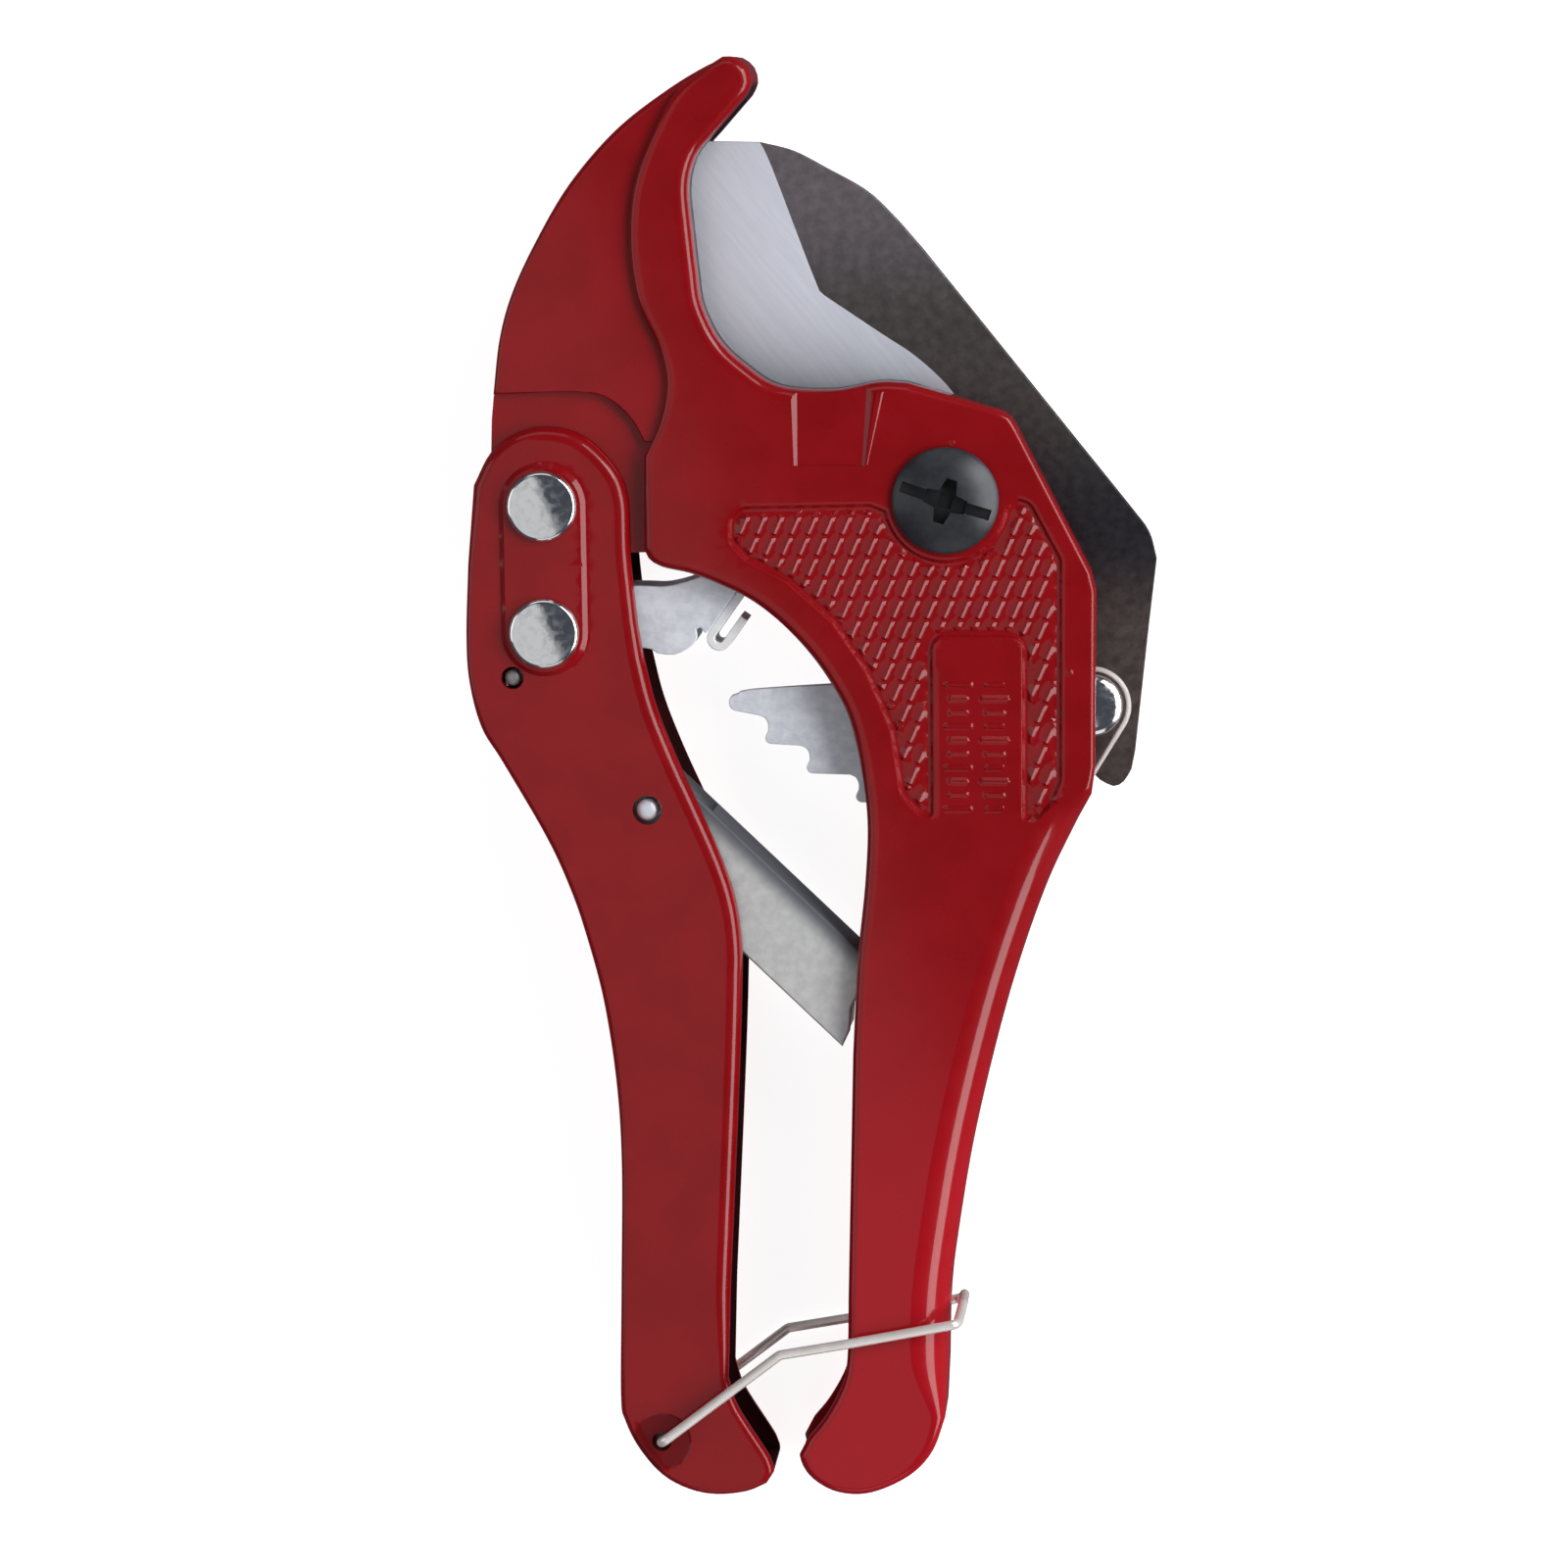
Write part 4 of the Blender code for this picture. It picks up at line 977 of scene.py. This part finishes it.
def rack_outline():
    """The toothed plate: a thin rounded tip, hooked steps along its lower side and an eye at the rivet."""
    top = curve([(-29.6, -27.9), (-28.0, -27.4), (-17.3, -26.6), (-2.0, -25.7), (14.0, -25.0)])
    eye = arc(RACK_PIVOT, 4.4, 105, -75, 24)
    belly = curve([(14.5, -33.0), (9.0, -32.6), (4.5, -38.5), (0.5, -45.0), (-1.6, -46.8)])
    steps = [(-6.4, -43.4, -46.8), (-13.0, -39.4, -43.4), (-20.0, -35.3, -39.3), (-25.9, -31.0, -35.1)]
    teeth = [point for step in steps for point in rack_tooth(*step)]
    tip = arc((-29.7, -29.2), 1.25, 250, 130, 8)
    return top + eye + belly + teeth + tip


def build_rack(zinc):
    rack = slab("toothed_rack", rack_outline(), RACK_LOW, RACK_TOP, 0.16, steps=2, pivot=RACK_PIVOT,
                look=zinc)
    combine(rack, "DIFFERENCE", [bore(RACK_PIVOT, RACK_HOLE)])
    return finish_piece(rack, "rack_group", "ratchet_rack")


def build_rack_rivet(bright):
    """The domed rivet at the blade's tail."""
    radius, top, drop, shank = 4.5, 5.9, 1.25, 2.4
    head = [(radius * math.sin(a), top - drop * (1 - math.cos(a)))
            for a in (math.radians(9 * step) for step in range(11))]
    seat, foot = RACK_TOP + 0.05, -BLADE_HALF - 0.05
    far_head = [(4.2, foot), (4.2, -2.7), (4.0, -3.05), (3.5, -3.25), (0, -3.3)]
    profile = head + [(radius + 0.05, seat), (shank, seat), (shank, foot)] + far_head
    rivet = turned("tail_rivet", profile, RACK_PIVOT, bright, segments=80)
    return finish_piece(rivet, "blade_group", "rack_rivet")


def build_rack_spring(steel):
    """A hairpin spring round the tail rivet's head, with its lower leg hooked round the blade's heel."""
    loop = arc(RACK_PIVOT, 5.25, 85, -32, 30)
    hook = [(20.5, -39.5, SPRING_Z), (20.25, -39.9, 4.7), (20.1, -40.1, 4.2), (20.0, -40.2, -1.0)]
    path = [(13.5, -24.6, SPRING_Z)] + [(x, y, SPRING_Z) for x, y in loop] + hook
    spring = wire("hairpin_spring", path, 0.36, BLADE_PIVOT, steel)
    return finish_piece(spring, "blade_group", "rack_spring")


# ---------------------------------------------------------------- pawl

def build_pawl(zinc, paler_zinc):
    """A folded pawl: two flanges that straddle the rack, and a bent lip between them for its teeth."""
    eye = arc(PAWL_PIVOT, 6.0, 270, 100, 24)
    top = curve([(-50.0, -12.6), (-43.4, -12.5), (-39.7, -12.5), (-35.6, -11.4), (-32.5, -10.2),
                 (-30.2, -11.2)])
    right = [(-29.5, -12.9), (-33.6, -18.9)]
    notch_side = [(-34.2, -19.2), (-34.9, -18.4), (-35.4, -18.7), (-35.3, -19.9), (-36.0, -20.9)]
    foot = curve([(-36.8, -21.5), (-38.6, -22.3), (-41.0, -22.1), (-43.2, -21.3), (-50.0, -23.6)])
    outline = eye + top + right + notch_side + foot
    pawl = slab("folded_pawl", outline, -PAWL_HALF, PAWL_HALF, 0.2, steps=2, pivot=PAWL_PIVOT, look=zinc)
    inside = PAWL_HALF - PAWL_WALL
    between = [(-66.0, -6.0), (-28.4, -6.0), (-28.8, -12.0), (-36.0, -21.0), (-36.0, -26.0), (-66.0, -28.0)]
    combine(pawl, "DIFFERENCE", [slab("between", between, -inside, inside)])
    combine(pawl, "DIFFERENCE", [bore(PAWL_PIVOT, PAWL_HOLE)])
    combine(pawl, "UNION", [pawl_lip(inside + 0.6, paler_zinc)])
    return finish_piece(pawl, "pawl_group", "pawl")


def pawl_lip(half_width, paler_zinc):
    """The hook of folded sheet between the flanges: down, round a tight bend and up again."""
    up = Vector((0.574, 0.819))
    right = Vector((up.y, -up.x))
    foot = Vector((-33.2, -19.3))
    bend_radius, half_sheet = 1.2, 0.58
    left_length, right_length = 7.6, 4.4
    centre = foot + right * bend_radius
    turn = [centre - right * bend_radius * math.cos(a) - up * bend_radius * math.sin(a)
            for a in (math.radians(15 * step) for step in range(13))]
    path = [foot + up * left_length] + turn + [foot + right * 2 * bend_radius + up * right_length]
    outline = offset_path(path, half_sheet) + offset_path(path, -half_sheet)[::-1]
    return slab("lip", outline, -half_width, half_width, 0.18, steps=2, look=paler_zinc)


def build_pawl_spring(steel):
    """A torsion spring on the pawl's rivet; one leg rests on the anchor pin."""
    coil = coil_points(PAWL_PIVOT, 3.9, -3.25, 0.95, 190, -3.4)
    anchor_leg = [(-63.6, -28.0, -3.4), (-63.3, -25.6, -3.4)]
    pawl_leg = [(-52.4, -14.6, coil[-1][2]), (-41.0, -14.9, coil[-1][2])]
    spring = wire("pawl_torsion_spring", anchor_leg + coil + pawl_leg, 0.4, PAWL_PIVOT, steel)
    return finish_piece(spring, "handle_group", "pawl_spring")


# ---------------------------------------------------------------- spring arm

def arm_point(along, up):
    """A point of the arm, from its distance along the arm and its height above the arm's middle line."""
    c, s = math.cos(ARM_ANGLE), math.sin(ARM_ANGLE)
    return (ARM_PIVOT[0] + along * c - up * s, ARM_PIVOT[1] + along * s + up * c)


def arm_outline(points):
    """Points along and up from the arm's middle line, as design points."""
    return [arm_point(*point) for point in points]


def build_arm(zinc):
    """A folded strut: two flanges and a web, with a narrow tongue that slides in the fixed handle."""
    reach = ARM_REACH
    web_low = reach - ARM_WALL
    inside = ARM_HALF - ARM_WALL
    root = arc((0.0, 0.0), reach, 90, 270, 30)
    end = [(43.4, -reach), (42.6, -3.4), (40.6, -1.0), (39.8, 1.4), (39.6, reach - 2.0), (39.6, reach)]
    tongue = [(36.0, 4.65), (54.6, 4.65), (55.1, 4.2), (55.1, 3.0), (56.3, 2.6), (57.0, 3.2), (57.0, 4.8),
              (56.2, 5.6), (36.0, 5.6)]
    hollow = [(-8.0, 8.0), (7.0, 8.0), (7.0, web_low), (46.0, web_low), (46.0, -8.0), (-8.0, -8.0)]
    arm = slab("folded_arm", arm_outline(root + end), -ARM_HALF, ARM_HALF, 0.5, steps=3, pivot=ARM_PIVOT,
               look=zinc)
    combine(arm, "UNION", [slab("tongue", arm_outline(tongue), -4.0, 4.0, 0.15, steps=2)])
    combine(arm, "DIFFERENCE", [slab("hollow", arm_outline(hollow), -inside, inside)])
    combine(arm, "DIFFERENCE", [bore(ARM_PIVOT, ARM_PIN + FIT)])
    return finish_piece(arm, "arm_group", "spring_arm")


def build_arm_spring(steel):
    """A torsion spring on the arm's pin; its legs press the handle's spine and the arm's web."""
    coil = coil_points(ARM_PIVOT, 2.4, 4.25, 1.0, 150, -2.2)
    spine_leg = [(-48.6, -55.4, -2.2), (-46.2, -49.0, -2.2)]
    web_leg = [(*arm_point(along, up), coil[-1][2]) for along, up in ((8.0, 2.2), (22.0, 3.4))]
    spring = wire("arm_torsion_spring", spine_leg + coil + web_leg, 0.45, ARM_PIVOT, steel)
    return finish_piece(spring, "handle_group", "arm_spring")


# ---------------------------------------------------------------- lock bail

def build_bail(steel):
    """The wire loop that hooks over the fixed handle and keeps the tool shut."""
    half, eye_depth, bend_radius, wire_radius = 10.8, 6.4, 1.2, 0.7
    near = [(*BAIL_PIVOT, eye_depth), (*BAIL_PIVOT, half), (-23.3, -121.9, half), (-13.6, -120.2, half),
            (2.0, -117.2, half), (2.6, -115.4, 4.0)]
    far = [(x, y, -z) for x, y, z in reversed(near)]
    path = bent_wire_points(near + far, bend_radius)
    bail = wire("wire_bail", path, wire_radius, BAIL_PIVOT, steel, resolution=5)
    return finish_piece(bail, "bail_group", "lock_bail")


# ---------------------------------------------------------------- materials

class Shader:
    """A Principled material that is built up node by node, in the object's own coordinates."""

    def __init__(self, name, metallic=0.0, roughness=0.4, **sockets):
        self.material = bpy.data.materials.new(name)
        self.material.use_nodes = True
        self.tree = self.material.node_tree
        self.principled = self.tree.nodes["Principled BSDF"]
        self.principled.inputs["Metallic"].default_value = metallic
        self.principled.inputs["Roughness"].default_value = roughness
        for socket, value in sockets.items():
            self.principled.inputs[socket.replace("_", " ")].default_value = value
        self.place = self.node("ShaderNodeTexCoord").outputs["Object"]

    def node(self, kind, **settings):
        made = self.tree.nodes.new(kind)
        for name, value in settings.items():
            setattr(made, name, value)
        return made

    def feed(self, socket, value):
        if isinstance(value, bpy.types.NodeSocket):
            self.tree.links.new(value, socket)
        else:
            socket.default_value = value

    def stretched(self, turn, stretch):
        """The place, turned about Z by degrees and then stretched by a factor along each axis."""
        mapping = self.node("ShaderNodeMapping", vector_type="POINT")
        self.feed(mapping.inputs["Vector"], self.place)
        mapping.inputs["Rotation"].default_value = (0.0, 0.0, math.radians(turn))
        scaled = self.node("ShaderNodeVectorMath", operation="MULTIPLY")
        self.feed(scaled.inputs[0], mapping.outputs["Vector"])
        scaled.inputs[1].default_value = stretch
        return scaled.outputs["Vector"]

    def noise(self, size, detail=3.0, place=None, roughness=0.5):
        """Noise whose grains are about size millimetres across."""
        texture = self.node("ShaderNodeTexNoise")
        self.feed(texture.inputs["Vector"], place or self.place)
        texture.inputs["Scale"].default_value = 1.0 / (size * MM)
        texture.inputs["Detail"].default_value = detail
        texture.inputs["Roughness"].default_value = roughness
        return texture.outputs["Fac"]

    def spread(self, value, low, high, to_low=0.0, to_high=1.0):
        """value, mapped from one range to another and kept inside it."""
        mapped = self.node("ShaderNodeMapRange", interpolation_type="SMOOTHSTEP")
        self.feed(mapped.inputs["Value"], value)
        for name, number in (("From Min", low), ("From Max", high), ("To Min", to_low), ("To Max", to_high)):
            mapped.inputs[name].default_value = number
        return mapped.outputs["Result"]

    def coordinate(self, axis, place=None):
        split = self.node("ShaderNodeSeparateXYZ")
        self.feed(split.inputs[0], place or self.place)
        return split.outputs[axis]

    def mix(self, share, first, second):
        mixed = self.node("ShaderNodeMix", data_type="RGBA")
        self.feed(mixed.inputs["Factor"], share)
        for socket, colour in ((mixed.inputs[6], first), (mixed.inputs[7], second)):
            self.feed(socket, (*colour, 1.0) if isinstance(colour, tuple) else colour)
        return mixed.outputs[2]

    def math(self, operation, first, second):
        step = self.node("ShaderNodeMath", operation=operation)
        self.feed(step.inputs[0], first)
        self.feed(step.inputs[1], second)
        return step.outputs[0]

    def colour(self, value):
        self.feed(self.principled.inputs["Base Color"], value)

    def roughness(self, value):
        self.feed(self.principled.inputs["Roughness"], value)

    def bump(self, height, depth, strength=1.0):
        """Bumps from a 0 to 1 height, depth millimetres high."""
        bump = self.node("ShaderNodeBump")
        self.feed(bump.inputs["Height"], height)
        bump.inputs["Distance"].default_value = depth * MM
        bump.inputs["Strength"].default_value = strength
        self.feed(self.principled.inputs["Normal"], bump.outputs["Normal"])


# Where the pipe sits, and how far round its middle the seat's side walls get painted shade.
PIPE_CENTRE = (-14.0, 38.0)
SEAT_SHADE_REACH = 24.5
COAT = 0.6


def gloss_enamel(name):
    """Gloss enamel with faint mottling, an orange-peel skin and a clear coat: the material and its colour."""
    look = Shader(name, roughness=0.3, Coat_Weight=COAT, Coat_Roughness=0.08, Specular_IOR_Level=0.1)
    cloudy = look.spread(look.noise(9.0, 4.0), 0.35, 0.65)
    look.roughness(look.spread(look.noise(3.0), 0.3, 0.7, 0.27, 0.36))
    look.bump(look.noise(0.9, 2.0), 0.004)
    return look, look.mix(cloudy, (0.245, 0.002, 0.004), (0.275, 0.003, 0.006))


def disc(look, centre, radius, blur):
    """1 within a radius of an upright axis through centre, and 0 beyond it; all in millimetres."""
    away = look.node("ShaderNodeVectorMath", operation="DISTANCE")
    look.feed(away.inputs[0], look.stretched(0, (1.0, 1.0, 0.0)))
    away.inputs[1].default_value = (centre[0] * MM, centre[1] * MM, 0.0)
    return look.spread(away.outputs["Value"], (radius - blur) * MM, (radius + blur) * MM, 1.0, 0.0)


def body_enamel():
    """The casting's enamel: painted shade on the side walls of the pipe seat, and brighter towards the grip's
    foot.
    """
    look, enamel = gloss_enamel("body_enamel")
    # The red gets brighter towards the grip's foot.
    grip = look.spread(look.coordinate("Y"), -50 * MM, -110 * MM)
    enamel = look.mix(grip, enamel, (0.38, 0.004, 0.01))
    # Painted shade: below the cheeks' faces, the enamel on the seat's side walls turns near black and loses
    # its coat.
    height = look.math("ABSOLUTE", look.coordinate("Z"), 0.0)
    deep = look.spread(height, 5.0 * MM, 6.5 * MM, 1.0, 0.0)
    seat_shade = look.math("MULTIPLY", disc(look, PIPE_CENTRE, SEAT_SHADE_REACH, 0.5), deep)
    look.colour(look.mix(seat_shade, enamel, (0.012, 0.002, 0.003)))
    look.feed(look.principled.inputs["Coat Weight"], look.spread(seat_shade, 0.0, 1.0, COAT, 0.05))
    return look.material


def handle_enamel():
    """The moving handle's enamel, darker and with less coat in a disc round the bail's eye."""
    look, enamel = gloss_enamel("handle_enamel")
    eye = (BAIL_PIVOT[0] - HANDLE_PIVOT[0], BAIL_PIVOT[1] - HANDLE_PIVOT[1])
    bail_eye_disc = disc(look, eye, 4.1, 0.4)
    look.colour(look.mix(bail_eye_disc, enamel, (0.15, 0.004, 0.006)))
    look.feed(look.principled.inputs["Coat Weight"], look.spread(bail_eye_disc, 0.0, 1.0, COAT, 0.2))
    return look.material


def channel_shade_enamel():
    """Near-black enamel inside the pressed handle: painted shade on the channel's walls, faintly mottled."""
    look = Shader("channel_shade_enamel", roughness=0.6, Specular_IOR_Level=0.2)
    shade_mottle = look.spread(look.noise(4.0, 4.0), 0.35, 0.65)
    look.colour(look.mix(shade_mottle, (0.03, 0.001, 0.002), (0.05, 0.002, 0.003)))
    look.bump(look.noise(0.9, 2.0), 0.004)
    return look.material


def blade_plate_steel():
    """Hardened plate, nearly black: blue-grey at the head, darkest beside the screw and brown at the tail."""
    look = Shader("hardened_plate", metallic=0.5, roughness=0.4)
    along = look.coordinate("Y")
    mottle = look.spread(look.noise(1.6, 5.0, roughness=0.6), 0.3, 0.7, 0.0, 1.0)
    head = look.mix(mottle, (0.14, 0.122, 0.135), (0.19, 0.165, 0.18))
    middle = look.mix(mottle, (0.06, 0.052, 0.05), (0.085, 0.075, 0.07))
    dark = look.mix(mottle, (0.016, 0.015, 0.02), (0.026, 0.024, 0.03))
    tail = look.mix(mottle, (0.065, 0.048, 0.046), (0.105, 0.08, 0.074))
    upper = look.mix(look.spread(along, 0.022, 0.044), middle, head)
    lower = look.mix(look.spread(along, -0.02, -0.006), tail, dark)
    look.colour(look.mix(look.spread(along, -0.004, 0.018), lower, upper))
    look.roughness(look.spread(look.noise(1.4, 4.0), 0.3, 0.7, 0.34, 0.5))
    look.bump(look.noise(0.5, 3.0), 0.006)
    return look.material


def streaks(look, turn, size, grain):
    """0 to 1: fine and broad scratches that run together, turned about Z by degrees."""
    fine = look.noise(size, 2.0, look.stretched(turn, (1.0, grain, 1.0)))
    broad = look.noise(6 * size, 2.0, look.stretched(turn, (1.0, 2 * grain, 1.0)))
    return look.math("MULTIPLY", look.math("ADD", fine, broad), 0.5)


def ground_steel():
    """Freshly ground steel: fine diagonal scratches, paler towards the jaw's tip."""
    look = Shader("ground_steel", metallic=0.35, roughness=0.36, Anisotropic=0.3)
    scratches = streaks(look, -40, 0.1, 0.02)
    tone = look.spread(scratches, 0.25, 0.75)
    low = look.mix(tone, (0.46, 0.48, 0.54), (0.53, 0.55, 0.61))
    high = look.mix(tone, (0.74, 0.76, 0.85), (0.82, 0.84, 0.92))
    look.colour(look.mix(look.spread(look.coordinate("Y"), 0.008, 0.034), low, high))
    look.roughness(look.spread(scratches, 0.3, 0.7, 0.34, 0.44))
    look.bump(scratches, 0.001)
    return look.material


def plated_steel(name, dull, pale):
    """Zinc plate over stamped sheet: softly cloudy, with faint rolling lines."""
    look = Shader(name, metallic=0.2, roughness=0.38)
    clouds = look.noise(1.6, 5.0, roughness=0.6)
    lines = streaks(look, 100, 0.2, 0.05)
    tone = look.math("ADD", look.math("MULTIPLY", clouds, 0.7), look.math("MULTIPLY", lines, 0.3))
    look.colour(look.mix(look.spread(tone, 0.32, 0.68), dull, pale))
    look.roughness(look.spread(clouds, 0.35, 0.65, 0.32, 0.42))
    look.bump(look.noise(0.5, 3.0), 0.004)
    return look.material


def arm_steel():
    """Warm grey zinc plate on the arm, with a painted dark reflection along its folded back."""
    look = Shader("arm_plate", metallic=0.2, roughness=0.38)
    clouds = look.noise(1.6, 5.0, roughness=0.6)
    plate = look.mix(look.spread(clouds, 0.3, 0.7), (0.55, 0.55, 0.545), (0.66, 0.66, 0.65))
    # Painted reflection: the plate turns dark grey along the arm's folded back.
    across = look.coordinate("Y", look.stretched(-math.degrees(ARM_ANGLE), (1.0, 1.0, 1.0)))
    back = look.spread(across, 2.4 * MM, 5.6 * MM)
    look.colour(look.mix(back, plate, (0.13, 0.135, 0.15)))
    look.roughness(look.spread(clouds, 0.35, 0.65, 0.32, 0.42))
    look.bump(look.noise(0.5, 3.0), 0.004)
    return look.material


def polished_steel():
    """A rivet's head: bright, with handling marks."""
    look = Shader("polished_steel", metallic=1.0, roughness=0.08)
    marks = look.noise(0.9, 4.0)
    look.colour(look.mix(look.spread(marks, 0.4, 0.7), (0.94, 0.94, 0.92), (0.87, 0.88, 0.9)))
    look.roughness(look.spread(marks, 0.35, 0.7, 0.08, 0.2))
    look.bump(look.noise(1.2, 3.0), 0.007)
    return look.material


def drawn_wire():
    """Bright nickel-plated spring wire with faint drawing lines."""
    look = Shader("drawn_wire", metallic=0.45, roughness=0.25)
    lines = look.noise(3.0, 2.0)
    look.colour(look.mix(look.spread(lines, 0.35, 0.65), (0.9, 0.84, 0.79), (0.96, 0.92, 0.88)))
    look.roughness(look.spread(lines, 0.3, 0.7, 0.22, 0.28))
    look.bump(look.noise(0.3), 0.001)
    return look.material


def black_oxide(name, paleness, roughness):
    """Blackened steel with an oily sheen."""
    look = Shader(name, metallic=0.3)
    clouds = look.noise(1.1, 4.0)
    tones = ((0.022, 0.022, 0.027), (0.028, 0.029, 0.034))
    dark, pale = [tuple(paleness * c for c in tone) for tone in tones]
    look.colour(look.mix(look.spread(clouds, 0.3, 0.7), dark, pale))
    look.roughness(look.spread(clouds, 0.3, 0.7, roughness - 0.015, roughness + 0.015))
    look.bump(look.noise(0.35, 2.0), 0.0015)
    return look.material


# ---------------------------------------------------------------- stage, light and camera

def build_floor():
    """A plain pale table, lit from inside as well, so that it stays pale round the tool."""
    size = 3.0
    corners = [(x * size, y * size, -0.0003) for x, y in ((-1, -1), (1, -1), (1, 1), (-1, 1))]
    mesh = bpy.data.meshes.new("floor")
    mesh.from_pydata(corners, [], [(0, 1, 2, 3)])
    look = Shader("pale_table", roughness=0.9, Emission_Strength=0.88, Specular_IOR_Level=0.1)
    tone = look.mix(look.noise(400.0), (0.44, 0.44, 0.44), (0.48, 0.48, 0.48))
    look.colour(tone)
    look.principled.inputs["Emission Color"].default_value = (1.0, 1.0, 1.0, 1.0)
    mesh.materials.append(look.material)
    floor = bpy.data.objects.new("floor", mesh)
    bpy.context.scene.collection.objects.link(floor)
    floor.visible_glossy = False


def radiant_panel(name, size, radiance):
    """A rectangular area light with a given brightness, which doesn't depend on its size."""
    data = bpy.data.lights.new(name, "AREA")
    data.shape = "RECTANGLE"
    data.size, data.size_y = size
    data.energy = radiance * math.pi * size[0] * size[1]
    light = bpy.data.objects.new(name, data)
    bpy.context.scene.collection.objects.link(light)
    return light


def soft_box(name, direction, distance, size, radiance):
    """A panel that faces the tool from a direction."""
    light = radiant_panel(name, size, radiance)
    away = Vector(direction).normalized()
    light.location = away * distance
    light.rotation_euler = away.to_track_quat("Z", "Y").to_euler()


def build_overhead():
    """A level panel overhead. Its straight edge is mirrored across the tool, from the rivets to the grip."""
    height = 1.5
    width, length = 1.2, 1.8
    edge_start, edge_end = Vector((-0.131, 0.0)), Vector((0.0, -0.318))
    along = (edge_end - edge_start).normalized()
    away = Vector((along.y, -along.x))
    centre = (edge_start + edge_end) / 2 + away * width / 2
    panel = radiant_panel("overhead", (width, length), OVERHEAD)
    panel.location = (*centre, height)
    panel.rotation_euler = (0.0, 0.0, math.atan2(away.y, away.x))


def build_lights():
    world = bpy.data.worlds.new("studio")
    world.use_nodes = True
    background = world.node_tree.nodes["Background"]
    background.inputs["Color"].default_value = (0.86, 0.96, 1.2, 1.0)
    background.inputs["Strength"].default_value = SKY
    bpy.context.scene.world = world
    build_overhead()
    soft_box("key_right", (1.0, 0.1, 0.72), 1.1, (1.4, 0.58), KEY)
    soft_box("key_upper_right", (0.75, 0.8, 1.0), 1.2, (0.5, 0.4), 0.8 * KEY)
    soft_box("fill_left", (-1.0, 0.1, 0.6), 1.2, (0.8, 0.7), FILL)
    soft_box("fill_foot", (0.1, -1.0, 0.6), 1.2, (0.8, 0.5), 0.8 * FILL)
    soft_box("fill_head", (-0.2, 1.0, 0.7), 1.2, (0.8, 0.5), 0.8 * FILL)
    bpy.context.scene.view_settings.view_transform = "Standard"


def build_camera():
    """Looks down on the tool's near side from slightly above its head end and to the right."""
    turn, rise = math.radians(3.2), math.radians(5.8)
    distance = 970.0
    toward = Vector((math.sin(turn) * math.cos(rise), math.sin(rise), math.cos(turn) * math.cos(rise)))
    right = Vector((math.cos(turn), 0.0, -math.sin(turn)))
    up = toward.cross(right)
    target = Vector((-23.3, -41.2, 0.0)) + ORIGIN
    data = bpy.data.cameras.new("camera")
    data.sensor_width = 36.0
    data.lens = 155.9
    camera = bpy.data.objects.new("camera", data)
    bpy.context.scene.collection.objects.link(camera)
    rotation = Matrix((right, up, toward)).transposed()
    camera.matrix_world = Matrix.Translation((target + toward * distance) * MM) @ rotation.to_4x4()
    bpy.context.scene.camera = camera


def main():
    zinc = plated_steel("zinc_plate", (0.66, 0.68, 0.75), (0.84, 0.86, 0.91))
    # A paler copy of the zinc, for the pawl's bent lip.
    paler_zinc = plated_steel("paler_zinc", (0.85, 0.86, 0.88), (0.95, 0.95, 0.95))
    # A dark grey copy of the zinc, for the anchor pin.
    dark_zinc = plated_steel("dark_zinc", (0.2, 0.2, 0.2), (0.3, 0.3, 0.3))
    bright = polished_steel()
    steel = drawn_wire()
    black = black_oxide("black_oxide", 1.35, 0.34)

    build_body(body_enamel())
    build_handle(handle_enamel(), channel_shade_enamel())
    build_blade(blade_plate_steel(), ground_steel())
    # The screw's recesses get a far darker copy of the black oxide: painted shade.
    build_screw(black, black_oxide("recess_shade_black", 0.3, 0.6))
    build_nut(black)
    build_washers(black, zinc)
    build_rivet("handle_rivet", HANDLE_PIVOT, 3.4, bright)
    build_rivet("pawl_rivet", PAWL_PIVOT, 2.9, bright)
    build_pin("spring_anchor_pin", "anchor_pin", ANCHOR, ANCHOR_PIN, dark_zinc)
    build_pin("arm_pin", "arm_pivot_pin", ARM_PIVOT, ARM_PIN, zinc)
    build_rack(zinc)
    build_rack_rivet(bright)
    build_rack_spring(steel)
    build_pawl(zinc, paler_zinc)
    build_pawl_spring(steel)
    build_arm(arm_steel())
    build_arm_spring(steel)
    build_bail(steel)
    build_floor()
    build_lights()
    build_camera()


main()
